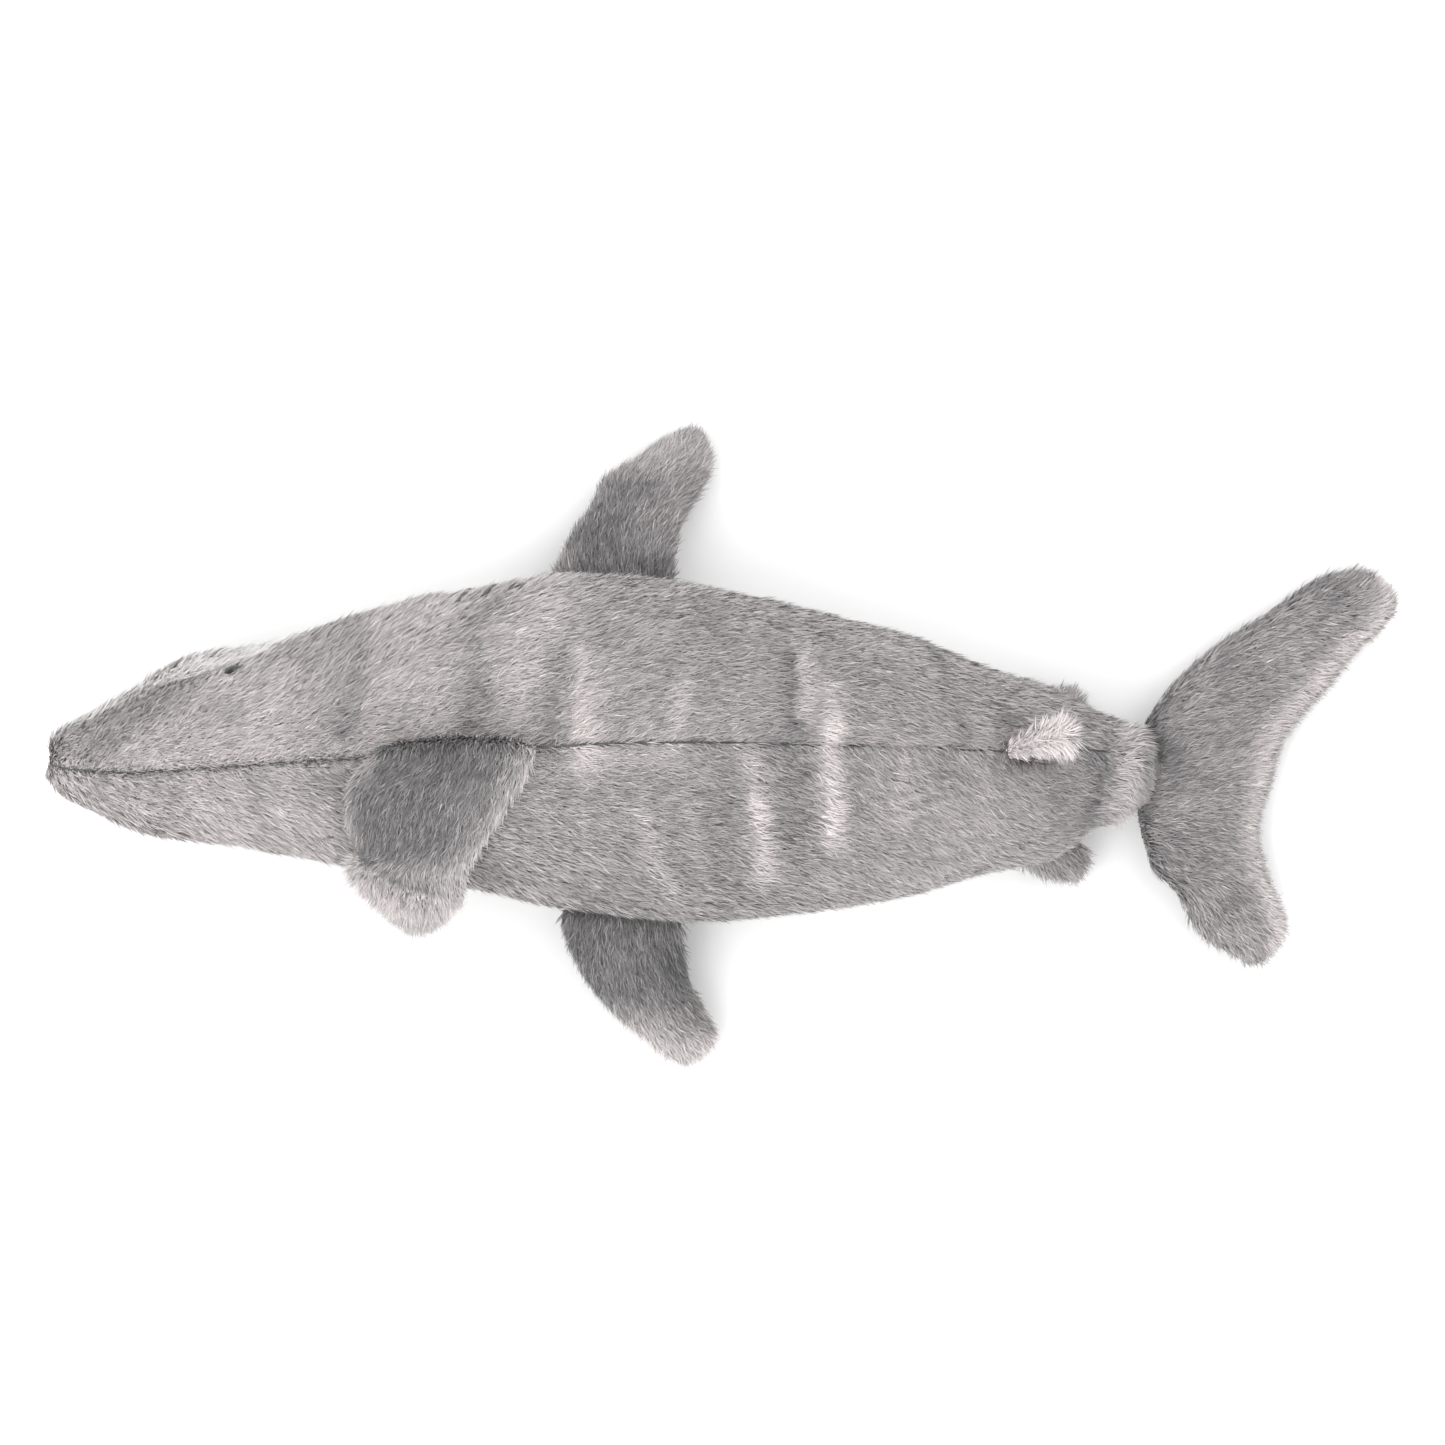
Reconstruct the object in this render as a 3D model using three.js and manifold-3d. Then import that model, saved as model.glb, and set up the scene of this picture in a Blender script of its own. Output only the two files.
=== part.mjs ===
// Plush shark lying on its belly: a sewn skin of short-pile plush over fibre filling.
// Millimetres and degrees, +Z up. +X runs from the snout to the tail and +Y to the
// shark's right. The origin is the middle of the flat underside.
//
// The body is cut into head, trunk, tail stalk and tail collar where the toy bends.
// Head and stalk turn about upright axes, so their joints with the trunk are cylinders.
// Every fin is two sewn panels over a thin filling, turning about the line of its root.

import * as THREE from 'three';
import { mergeVertices } from 'three/addons/utils/BufferGeometryUtils.js';
import Module from 'manifold-3d';

const wasm = await Module();
wasm.setup();

// ---------------------------------------------------------------- driving dimensions

const PLUSH = 1.5; // thickness of the plush backing
const PILE = 2.5; // pile standing outside the backing
const SEAM_GAP = 0.4; // between panels along a seam
const FILL_GAP = 0.8; // between a panel and the filling behind it
const TURN_GAP = 1; // between faces that slide on each other
const CORE_RECESS = 2.5; // filling stands this much further back in a hollow joint face
const TIP = 1.0; // radius of the small ring that closes the snout

// Outline of the pile along the body: centre line, half width, underside and top.
// An underside below zero is pressed flat where the belly rests.
const BODY = [
  { x: -260, y: -2.8, half: 2.6, low: 24, high: 30 },
  { x: -257.5, y: -4.6, half: 9, low: 17, high: 38 },
  { x: -248, y: -6.2, half: 17, low: 9, high: 50 },
  { x: -228, y: -5.6, half: 27, low: 3, high: 64 },
  { x: -204, y: -2.2, half: 36.8, low: -2, high: 76 },
  { x: -180, y: -1.2, half: 40, low: -5, high: 85 },
  { x: -140, y: 2, half: 49.5, low: -6, high: 97 },
  { x: -100, y: 3.5, half: 59, low: -6, high: 106 },
  { x: -52, y: 1, half: 68, low: -6, high: 113 },
  { x: -4, y: -2.8, half: 68, low: -6, high: 113 },
  { x: 40, y: -6, half: 61.5, low: -6, high: 106 },
  { x: 82, y: -7.8, half: 52.5, low: -6, high: 94 },
  { x: 112, y: -10, half: 42, low: -3, high: 79 },
  { x: 142, y: -10.4, half: 33.5, low: 1, high: 64 },
  { x: 160, y: -9.8, half: 24, low: 3, high: 50 },
  { x: 176, y: -10, half: 18, low: 5, high: 38 },
];

// The body lies slightly twisted: roll of the dorsal seam away from the top.
const ROLL = [
  { x: -260, roll: 16 },
  { x: -180, roll: 10.5 },
  { x: -132, roll: 9 },
  { x: -60, roll: 2 },
  { x: 0, roll: -3.5 },
  { x: 76, roll: -8.5 },
  { x: 142, roll: -17.5 },
  { x: 176, roll: -30 },
];

// Height of the grey and white boundary above the widest line of the body.
const SIDE_SEAM = [
  { x: -260, rise: 4 },
  { x: -228, rise: 2 },
  { x: -204, rise: 19 },
  { x: -190, rise: 13 },
  { x: -176, rise: 4 },
  { x: -160, rise: -2 },
  { x: -120, rise: -15 },
  { x: -60, rise: -25 },
  { x: 100, rise: -25 },
  { x: 176, rise: -20 },
];

const NECK = { x: -130, radius: 54 }; // upright axis on which the head turns
const WAIST = { x: 84, radius: 54 }; // upright axis on which the tail stalk turns
const STALK_END = 168; // flat end of the stalk, where the tail twists
const COLLAR_END = 173.4; // back of the collar that carries the tail fin
const TAIL_PIVOT = new THREE.Vector3(184, -10, 20); // line on which the tail fin flaps

const EYE = { x: -186, right: 33, left: 170, radius: 4, dome: 2.8, steps: 7 };
const STEM = { radius: 1.6, length: 9 };
const WASHER = { radius: 5.5, thick: 1.4, depth: 2.6 };
const POCKET = { radius: 6.3, depth: 5.2 };
const STEM_CLEARANCE = 0.5;

const STITCH = { width: 2.6, thick: 1, lift: 0.4 };
const GILL = { front: -96, pitch: 10, from: -30, to: 17, lean: 4, steps: 8 };
const MOUTH = { x: -231, half: 68, sweep: 13, steps: 18 };

const RIM = 1.65; // half thickness of a fin at its sewn edge
const FULLEST = 0.7; // below 1 puts the fullest part of a fin nearer its root
const FIN_FILL = { from: 0.15, to: 0.85, tip: 0.82, least: 0.35, gap: 1.1 };

// Fins sewn on along a root line. The outline is measured from the front of the root:
// first number along the root towards the tail, second number out from the root.
const FINS = {
  dorsal_fin: {
    at: [-131, -4, 105.5],
    turn: [0, -10, 2],
    side: -1,
    swell: 6.5,
    root: 4.2,
    bend: 31,
    bendPower: 2.4,
    panels: ['right_panel', 'left_panel'],
    leading: [[1, 0], [-8, 12], [-10, 24], [-7, 38], [-11, 45], [-3, 57], [5, 66], [11, 70]],
    trailing: [[70, 0], [64, 12], [56, 24], [46, 36], [38, 48], [34, 60], [24, 68], [17, 71]],
  },
  second_dorsal_fin: {
    at: [119, -2, 77],
    turn: [74, 21, 0],
    side: 1,
    swell: 3,
    root: 2.4,
    bend: 0,
    bendPower: 2,
    panels: ['left_panel', 'right_panel'],
    leading: [[0, 0], [4, 9], [9, 18], [15, 24]],
    trailing: [[27, 0], [26, 8], [26, 17], [22, 24]],
  },
  pectoral_fin_right: {
    at: [-60, 69, 30],
    turn: [-18, 0, -3.5],
    side: 1,
    swell: 6,
    root: 4.5,
    bend: 3,
    bendPower: 2,
    panels: ['top_panel', 'bottom_panel'],
    leading: [[0, 0], [5, 15], [13, 28], [19, 42], [31, 51], [42, 61], [50, 66]],
    trailing: [[54, 0], [54, 14], [56, 28], [62, 42], [65, 52], [63, 61], [58, 66]],
  },
  pectoral_fin_left: {
    at: [-60, -67.5, 30],
    turn: [18, 0, -3.5],
    side: -1,
    swell: 6,
    root: 4.5,
    bend: 3,
    bendPower: 2,
    panels: ['top_panel', 'bottom_panel'],
    leading: [[2, 0], [5, 14], [12, 28], [22, 41], [34, 52], [44, 61], [52, 63]],
    trailing: [[58, 0], [59, 14], [60, 28], [65, 42], [68, 50], [66, 58], [61, 63]],
  },
  pelvic_fin_right: {
    at: [127, 17, 9.4],
    turn: [-12, 0, -13],
    side: 1,
    swell: 1.6,
    root: 1.2,
    bend: 0,
    bendPower: 2,
    panels: ['top_panel', 'bottom_panel'],
    leading: [[0, 0], [4, 5], [11, 10], [18, 13]],
    trailing: [[28, 0], [28, 5], [27, 10], [23, 13]],
  },
  pelvic_fin_left: {
    at: [127, -45.5, 18],
    turn: [25, 0, 13],
    side: -1,
    swell: 2.4,
    root: 2,
    bend: 0,
    bendPower: 2,
    panels: ['top_panel', 'bottom_panel'],
    leading: [[0, 0], [4, 6], [11, 12], [18, 15]],
    trailing: [[28, 0], [29, 6], [28, 12], [24, 15]],
  },
};

// Tail fin, from the tip of the short lobe to the tip of the long lobe, measured from
// the pivot. It lies on its side, so the long lobe reaches to the shark's right.
const TAIL_FIN = {
  swell: 8.6,
  bend: 7.5,
  bendLength: 46,
  leading: [
    [34, -76], [18, -66], [8, -50], [-1, -42], [-5, -32], [-9, -20], [-9, 0],
    [-6, 18], [5, 34], [24, 51], [46, 66], [61, 77], [74, 81],
  ],
  trailing: [
    [43, -77], [50, -64], [45, -46], [40, -30], [40, -20], [42, -12], [45, -3],
    [51, 15], [69, 35], [80, 49], [92, 61], [93, 70], [84, 80],
  ],
};

const STEPS = { nose: 10, trunk: 11, stalk: 9, collar: 1, back: 6, belly: 9, cap: 4 };
const FIN_STEPS = { root: 2, span: 7, chord: 6 };
const TAIL_STEPS = { span: 18, chord: 6 };
const ROUND = 16; // facets round an eye, stem or washer

// ------------------------------------------------------------------------- materials

function cloth(color) {
  return new THREE.MeshStandardMaterial({ color, roughness: 0.95, metalness: 0 });
}

const GREY_PLUSH = cloth(0x96908e);
const WHITE_PLUSH = cloth(0xd9d5d2);
const FILLING = cloth(0xf2f1ec);
const THREAD = cloth(0x2b292b);
const EYE_BLACK = new THREE.MeshStandardMaterial({ color: 0x0a0a0b, roughness: 0.08 });
const WASHER_WHITE = new THREE.MeshStandardMaterial({ color: 0xe6e6e2, roughness: 0.5 });

// ---------------------------------------------------------------------- closed solids

function radians(degrees) {
  return THREE.MathUtils.degToRad(degrees);
}

function solidFrom(positions, index) {
  const geometry = new THREE.BufferGeometry();
  geometry.setAttribute('position', new THREE.Float32BufferAttribute(positions, 3));
  geometry.setIndex(index);
  return facingOut(geometry);
}

// Signed volume of a closed surface: negative when its faces point inwards.
function signedVolume(geometry) {
  const place = geometry.getAttribute('position');
  const index = geometry.getIndex().array;
  const [a, b, c] = [new THREE.Vector3(), new THREE.Vector3(), new THREE.Vector3()];
  let sum = 0;
  for (let i = 0; i < index.length; i += 3) {
    a.fromBufferAttribute(place, index[i]);
    b.fromBufferAttribute(place, index[i + 1]);
    c.fromBufferAttribute(place, index[i + 2]);
    sum += a.dot(b.cross(c)) / 6;
  }
  return sum;
}

function facingOut(geometry) {
  if (signedVolume(geometry) < 0) {
    const index = geometry.getIndex().array;
    for (let i = 0; i < index.length; i += 3) {
      [index[i + 1], index[i + 2]] = [index[i + 2], index[i + 1]];
    }
  }
  geometry.computeVertexNormals();
  return geometry;
}

// A curved slab: point(u, v, face) gives its outer face (0) and its inner face (1),
// and walls close the four edges between them.
function slab(rows, columns, point) {
  const positions = [];
  const index = [];
  const width = columns + 1;
  const layer = (rows + 1) * width;
  for (const face of [0, 1]) {
    for (let i = 0; i <= rows; i += 1) {
      for (let j = 0; j <= columns; j += 1) {
        positions.push(...point(i / rows, j / columns, face));
      }
    }
  }
  const at = (i, j, face) => face * layer + i * width + j;
  const quad = (a, b, c, d) => index.push(a, b, c, a, c, d);
  for (let i = 0; i < rows; i += 1) {
    for (let j = 0; j < columns; j += 1) {
      quad(at(i, j, 0), at(i + 1, j, 0), at(i + 1, j + 1, 0), at(i, j + 1, 0));
      index.push(at(i, j, 1), at(i + 1, j + 1, 1), at(i + 1, j, 1));
      index.push(at(i, j, 1), at(i, j + 1, 1), at(i + 1, j + 1, 1));
    }
  }
  for (let i = 0; i < rows; i += 1) {
    quad(at(i, 0, 0), at(i, 0, 1), at(i + 1, 0, 1), at(i + 1, 0, 0));
    quad(at(i + 1, columns, 0), at(i + 1, columns, 1), at(i, columns, 1), at(i, columns, 0));
  }
  for (let j = 0; j < columns; j += 1) {
    quad(at(0, j + 1, 0), at(0, j + 1, 1), at(0, j, 1), at(0, j, 0));
    quad(at(rows, j, 0), at(rows, j, 1), at(rows, j + 1, 1), at(rows, j + 1, 0));
  }
  return solidFrom(positions, index);
}

// A closed tube of rings with a cap at each end: ring(i, j) is a point of ring i, and
// cap(end, shrink, j) a point of the first (0) or last (1) cap drawn in to its middle.
function loft(rings, around, capSteps, ring, cap) {
  const positions = [];
  const index = [];
  const rows = [];
  const addRow = (point) => {
    rows.push(positions.length / 3);
    for (let j = 0; j < around; j += 1) positions.push(...point(j));
  };
  for (let k = 1; k < capSteps; k += 1) addRow((j) => cap(0, k / capSteps, j));
  for (let i = 0; i <= rings; i += 1) addRow((j) => ring(i / rings, j));
  for (let k = capSteps - 1; k > 0; k -= 1) addRow((j) => cap(1, k / capSteps, j));
  for (let r = 0; r + 1 < rows.length; r += 1) {
    for (let j = 0; j < around; j += 1) {
      const next = (j + 1) % around;
      index.push(rows[r] + j, rows[r + 1] + j, rows[r + 1] + next);
      index.push(rows[r] + j, rows[r + 1] + next, rows[r] + next);
    }
  }
  const last = rows[rows.length - 1];
  const poles = [positions.length / 3, positions.length / 3 + 1];
  positions.push(...cap(0, 0, 0), ...cap(1, 0, 0));
  for (let j = 0; j < around; j += 1) {
    const next = (j + 1) % around;
    index.push(poles[0], rows[0] + j, rows[0] + next);
    index.push(poles[1], last + next, last + j);
  }
  return solidFrom(positions, index);
}

// ------------------------------------------------------------- cutting with manifolds

function toManifold(geometry) {
  const bare = geometry.clone();
  bare.deleteAttribute('normal');
  bare.deleteAttribute('uv');
  const merged = mergeVertices(bare, 1e-4);
  const vertProperties = new Float32Array(merged.getAttribute('position').array);
  const triVerts = new Uint32Array(merged.getIndex().array);
  return new wasm.Manifold(new wasm.Mesh({ numProp: 3, vertProperties, triVerts }));
}

function cutAway(geometry, cutters) {
  let solid = toManifold(geometry);
  for (const cutter of cutters) solid = solid.subtract(toManifold(cutter));
  const mesh = solid.getMesh();
  return solidFrom(Array.from(mesh.vertProperties), Array.from(mesh.triVerts));
}

// --------------------------------------------------------------------- the body's skin

function curve(table, keys) {
  const places = Float32Array.from(table, (row) => row.x);
  const values = Float32Array.from(table.flatMap((row) => keys.map((key) => row[key])));
  return new THREE.CubicInterpolant(places, values, keys.length);
}

const outline = curve(BODY, ['y', 'half', 'low', 'high']);
const rollCurve = curve(ROLL, ['roll']);
const seamCurve = curve(SIDE_SEAM, ['rise']);

function section(x) {
  const [y, half, low, high] = outline.evaluate(x);
  return { y, half, z: (low + high) / 2, tall: (high - low) / 2 };
}

// A point of the body, angle measured round from the shark's right over its back, and
// inset measured in from the tips of the pile.
function skinPoint(x, angle, inset) {
  const s = section(x);
  const y = s.y + Math.max(s.half - inset, TIP) * Math.cos(radians(angle));
  const z = s.z + Math.max(s.tall - inset, TIP) * Math.sin(radians(angle));
  return [x, y, Math.max(z, inset - PILE)];
}

function skinNormal(x, angle) {
  const step = 0.5;
  const along = new THREE.Vector3(...skinPoint(x + step, angle, PILE));
  along.sub(new THREE.Vector3(...skinPoint(x - step, angle, PILE)));
  const round = new THREE.Vector3(...skinPoint(x, angle + step, PILE));
  round.sub(new THREE.Vector3(...skinPoint(x, angle - step, PILE)));
  return round.cross(along).normalize();
}

function rollAt(x) {
  return rollCurve.evaluate(x)[0];
}

function seamAngles(x) {
  const roll = rollAt(x);
  const rise = seamCurve.evaluate(x)[0];
  return { dorsal: 90 + roll, right: rise + roll, left: 180 - rise + roll };
}

const PANELS = {
  back_panel_right: {
    columns: STEPS.back,
    material: GREY_PLUSH,
    edges: (seams) => [seams.right, seams.dorsal],
  },
  back_panel_left: {
    columns: STEPS.back,
    material: GREY_PLUSH,
    edges: (seams) => [seams.dorsal, seams.left],
  },
  belly_panel: {
    columns: STEPS.belly,
    material: WHITE_PLUSH,
    edges: (seams) => [seams.left, seams.right + 360],
  },
};

function panelAngle(panel, x, across, gap) {
  const [from, to] = panel.edges(seamAngles(x));
  const margin = THREE.MathUtils.radToDeg(gap / Math.max(section(x).half - PILE, 2 * TIP));
  return THREE.MathUtils.lerp(from + margin, to - margin, across);
}

// Ends of a body length. Each gives the X where a line of the skin stops.

const HALVINGS = 40;

function bisect(low, high, isBefore) {
  let [a, b] = [low, high];
  for (let i = 0; i < HALVINGS; i += 1) {
    const middle = (a + b) / 2;
    if (isBefore(middle)) a = middle;
    else b = middle;
  }
  return (a + b) / 2;
}

function pivotCentre(pivot) {
  return section(pivot.x).y;
}

function roundEnd(pivot, gap) {
  const radius = pivot.radius + gap;
  const centre = pivotCentre(pivot);
  const faceAt = (y) => pivot.x - Math.sqrt(Math.max(radius ** 2 - (y - centre) ** 2, 0));
  const stop = (angleAt, inset) =>
    bisect(pivot.x - radius - 2, pivot.x, (x) => {
      const y = skinPoint(x, angleAt(x), inset)[1];
      return Math.hypot(x - pivot.x, y - centre) > radius;
    });
  return { stop, faceAt };
}

function flatEnd(x) {
  return { stop: () => x, faceAt: () => x };
}

function snoutEnd() {
  const tipFor = (inset) =>
    bisect(BODY[0].x, BODY[3].x, (x) => {
      const s = section(x);
      return Math.min(s.half, s.tall) - inset < TIP;
    });
  const cache = new Map();
  const stop = (angleAt, inset) => {
    if (!cache.has(inset)) cache.set(inset, tipFor(inset));
    return cache.get(inset);
  };
  return { stop, faceAt: null };
}

const LENGTHS = {
  head: {
    steps: STEPS.nose,
    crowd: 1.8,
    front: snoutEnd(),
    rear: roundEnd(NECK, TURN_GAP),
    coreRear: roundEnd(NECK, TURN_GAP + CORE_RECESS),
  },
  trunk: {
    steps: STEPS.trunk,
    crowd: 1,
    front: roundEnd(NECK, 0),
    rear: roundEnd(WAIST, TURN_GAP),
    coreRear: roundEnd(WAIST, TURN_GAP + CORE_RECESS),
  },
  tail_stalk: {
    steps: STEPS.stalk,
    crowd: 1,
    front: roundEnd(WAIST, 0),
    rear: flatEnd(STALK_END),
  },
};

function lengthPoint(length, panel, along, across, inset, gap) {
  const angleAt = (x) => panelAngle(panel, x, across, gap);
  const front = length.front.stop(angleAt, inset);
  const rear = length.rear.stop(angleAt, inset);
  const x = THREE.MathUtils.lerp(front, rear, along ** length.crowd);
  return skinPoint(x, angleAt(x), inset);
}

function panelGeometry(length, panel) {
  return slab(length.steps, panel.columns, (along, across, face) =>
    lengthPoint(length, panel, along, across, PILE + face * PLUSH, SEAM_GAP / 2));
}

function fillingGeometry(skin) {
  const length = { ...skin, rear: skin.coreRear || skin.rear };
  const inset = PILE + PLUSH + FILL_GAP;
  const lines = [];
  for (const panel of Object.values(PANELS)) {
    for (let j = 0; j < panel.columns; j += 1) lines.push([panel, j / panel.columns]);
  }
  const ring = (along, j) => lengthPoint(length, lines[j][0], along, lines[j][1], inset, 0);
  const cap = (end, shrink, j) => {
    const face = end === 0 ? length.front.faceAt : length.rear.faceAt;
    const [x, y, z] = ring(end, j);
    const middle = section(x);
    const capY = THREE.MathUtils.lerp(middle.y, y, shrink);
    const capZ = THREE.MathUtils.lerp(middle.z, z, shrink);
    return [face ? face(capY) : x, capY, capZ];
  };
  return loft(length.steps, lines.length, STEPS.cap, ring, cap);
}

// --------------------------------------------------------------------------- the eyes

function eyePlace(side) {
  const angle = EYE[side];
  const group = new THREE.Group();
  group.position.set(...skinPoint(EYE.x, angle, PILE));
  group.quaternion.setFromUnitVectors(new THREE.Vector3(0, 1, 0), skinNormal(EYE.x, angle));
  group.updateMatrix();
  return group;
}

function eyeGeometry() {
  const profile = [new THREE.Vector2(0, -STEM.length), new THREE.Vector2(STEM.radius, -STEM.length)];
  profile.push(new THREE.Vector2(STEM.radius, SEAM_GAP));
  for (let i = 0; i <= EYE.steps; i += 1) {
    const angle = (i / EYE.steps) * (Math.PI / 2);
    profile.push(new THREE.Vector2(EYE.radius * Math.cos(angle), SEAM_GAP + EYE.dome * Math.sin(angle)));
  }
  profile[profile.length - 1].x = 0;
  return new THREE.LatheGeometry(profile, ROUND);
}

function washerGeometry() {
  const inner = STEM.radius + STEM_CLEARANCE / 2;
  const [low, high] = [-WASHER.depth - WASHER.thick, -WASHER.depth];
  const corners = [[inner, low], [WASHER.radius, low], [WASHER.radius, high], [inner, high], [inner, low]];
  return new THREE.LatheGeometry(corners.map(([r, y]) => new THREE.Vector2(r, y)), ROUND);
}

function holeAlongStem(place, radius, top, bottom) {
  const hole = new THREE.CylinderGeometry(radius, radius, top - bottom, ROUND);
  hole.translate(0, (top + bottom) / 2, 0);
  return hole.applyMatrix4(place.matrix);
}

function stemHole(place) {
  return holeAlongStem(place, STEM.radius + STEM_CLEARANCE, EYE.dome, -STEM.length - STEM_CLEARANCE);
}

function washerPocket(place) {
  return holeAlongStem(place, POCKET.radius, EYE.dome, -POCKET.depth);
}

// ------------------------------------------------------------------------ embroidery

// A satin-stitched bar that follows the skin along path(t), which gives X and angle.
function stitchGeometry(path, steps) {
  return slab(steps, 1, (along, across, face) => {
    const { x, angle } = path(along);
    const inset = PILE - STITCH.lift - (1 - face) * STITCH.thick;
    return skinPoint(x + (across - 0.5) * STITCH.width, angle, inset);
  });
}

function gillPath(side, order) {
  const front = GILL.front + order * GILL.pitch;
  return (t) => {
    const height = THREE.MathUtils.lerp(GILL.from, GILL.to, t);
    const x = front + GILL.lean * Math.sin(Math.PI * t);
    const angle = side === 'right' ? height + rollAt(x) : 180 - height + rollAt(x);
    return { x, angle };
  };
}

function mouthPath(t) {
  const swing = 2 * t - 1;
  const x = MOUTH.x + MOUTH.sweep * swing ** 2;
  return { x, angle: 270 + MOUTH.half * swing + rollAt(x) };
}

// -------------------------------------------------------------------------- the fins

function edgeCurve(points) {
  return new THREE.SplineCurve(points.map(([a, b]) => new THREE.Vector2(a, b)));
}

function finShape(fin) {
  const leading = edgeCurve(fin.leading);
  const trailing = edgeCurve(fin.trailing);
  const reach = fin.leading[fin.leading.length - 1][1];
  return (span, chord) => {
    const front = leading.getPoint(span);
    const back = trailing.getPoint(span);
    const spot = front.lerp(back, chord);
    const taper = Math.sqrt(1 - span ** 2);
    const body = THREE.MathUtils.lerp(fin.root, fin.swell, Math.sin(Math.PI * span ** FULLEST));
    const half = RIM + body * taper * Math.sqrt(Math.sin(Math.PI * chord));
    const drop = fin.bend * Math.max(spot.y / reach, 0) ** fin.bendPower;
    return { x: spot.x, y: spot.y, half, drop };
  };
}

// One panel of a fin, above (+1) or below (-1) its middle surface. Its first rows curl
// round the root line, so the fin can turn there without its corners swinging out.
function finPanelGeometry(fin, layer) {
  const shape = finShape(fin);
  const rows = FIN_STEPS.root + FIN_STEPS.span;
  return slab(rows, FIN_STEPS.chord, (along, across, face) => {
    const row = Math.round(along * rows);
    const span = Math.max(row - FIN_STEPS.root, 0) / FIN_STEPS.span;
    const curl = radians(90 * Math.min(row / FIN_STEPS.root, 1));
    const spot = shape(span, across);
    const half = spot.half - face * PLUSH;
    const up = Math.max(half * Math.sin(curl), SEAM_GAP / 2);
    const out = spot.y - half * Math.cos(curl);
    return [spot.x, fin.side * out, layer * up - spot.drop];
  });
}

function finFillingGeometry(fin) {
  const shape = finShape(fin);
  return slab(FIN_STEPS.span, FIN_STEPS.chord, (along, across, face) => {
    const chord = THREE.MathUtils.lerp(FIN_FILL.from, FIN_FILL.to, across);
    const spot = shape(along * FIN_FILL.tip, chord);
    const half = Math.max(spot.half - PLUSH - FIN_FILL.gap, FIN_FILL.least);
    return [spot.x, fin.side * spot.y, (face === 0 ? half : -half) - spot.drop];
  });
}

function tailShape() {
  const leading = edgeCurve(TAIL_FIN.leading);
  const trailing = edgeCurve(TAIL_FIN.trailing);
  return (span, chord) => {
    const spot = leading.getPoint(span).lerp(trailing.getPoint(span), chord);
    const swell = Math.sqrt(Math.sin(Math.PI * chord) * Math.sin(Math.PI * span));
    const reach = THREE.MathUtils.clamp(spot.x / TAIL_FIN.bendLength, 0, 1);
    const drop = TAIL_FIN.bend * THREE.MathUtils.smoothstep(reach, 0, 1);
    return { x: spot.x, y: spot.y, half: RIM + TAIL_FIN.swell * swell, drop };
  };
}

function tailPanelGeometry(layer) {
  const shape = tailShape();
  return slab(TAIL_STEPS.span, TAIL_STEPS.chord, (along, across, face) => {
    const spot = shape(along, across);
    const up = Math.max(spot.half - face * PLUSH, SEAM_GAP / 2);
    return [spot.x, spot.y, layer * up - spot.drop];
  });
}

function tailFillingGeometry() {
  const shape = tailShape();
  const margin = 1 - FIN_FILL.tip;
  return slab(TAIL_STEPS.span, TAIL_STEPS.chord, (along, across, face) => {
    const span = THREE.MathUtils.lerp(margin, 1 - margin, along);
    const spot = shape(span, THREE.MathUtils.lerp(FIN_FILL.from, FIN_FILL.to, across));
    const half = Math.max(spot.half - PLUSH - FIN_FILL.gap, FIN_FILL.least);
    return [spot.x, spot.y, (face === 0 ? half : -half) - spot.drop];
  });
}

// ---------------------------------------------------------------------- the assembly

function addMesh(group, name, geometry, material) {
  const mesh = new THREE.Mesh(geometry, material);
  mesh.name = name;
  group.add(mesh);
}

function bodyLength(name) {
  const group = new THREE.Group();
  const length = LENGTHS[name];
  const places = name === 'head' ? { right: eyePlace('right'), left: eyePlace('left') } : {};
  for (const [panelName, panel] of Object.entries(PANELS)) {
    const side = panelName.split('_').pop();
    const plain = panelGeometry(length, panel);
    const geometry = places[side] ? cutAway(plain, [stemHole(places[side])]) : plain;
    addMesh(group, `${name}_${panelName}`, geometry, panel.material);
  }
  const holes = Object.values(places).flatMap((place) => [washerPocket(place), stemHole(place)]);
  const filling = fillingGeometry(length);
  addMesh(group, `${name}_filling`, holes.length ? cutAway(filling, holes) : filling, FILLING);
  for (const [side, place] of Object.entries(places)) {
    addMesh(place, `eye_${side}`, eyeGeometry(), EYE_BLACK);
    addMesh(place, `eye_washer_${side}`, washerGeometry(), WASHER_WHITE);
    group.add(place);
  }
  return group;
}

// A short closed length of the body at one inset, with flat ends.
function plug(from, to, inset) {
  const lines = STEPS.back * Object.keys(PANELS).length;
  const ring = (along, j) => skinPoint(THREE.MathUtils.lerp(from, to, along), (360 * j) / lines, inset);
  const cap = (end, shrink, j) => {
    const [x, y, z] = ring(end, j);
    const middle = section(x);
    return [x, THREE.MathUtils.lerp(middle.y, y, shrink), THREE.MathUtils.lerp(middle.z, z, shrink)];
  };
  return loft(STEPS.collar, lines, 1, ring, cap);
}

function collar() {
  const group = new THREE.Group();
  const start = STALK_END + TURN_GAP;
  const outer = plug(start, COLLAR_END, PILE);
  const bore = plug(start - TURN_GAP, COLLAR_END + TURN_GAP, PILE + PLUSH);
  addMesh(group, 'tail_collar_skin', cutAway(outer, [bore]), GREY_PLUSH);
  addMesh(group, 'tail_collar_filling', plug(start, COLLAR_END, PILE + PLUSH + FILL_GAP), FILLING);
  return group;
}

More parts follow.
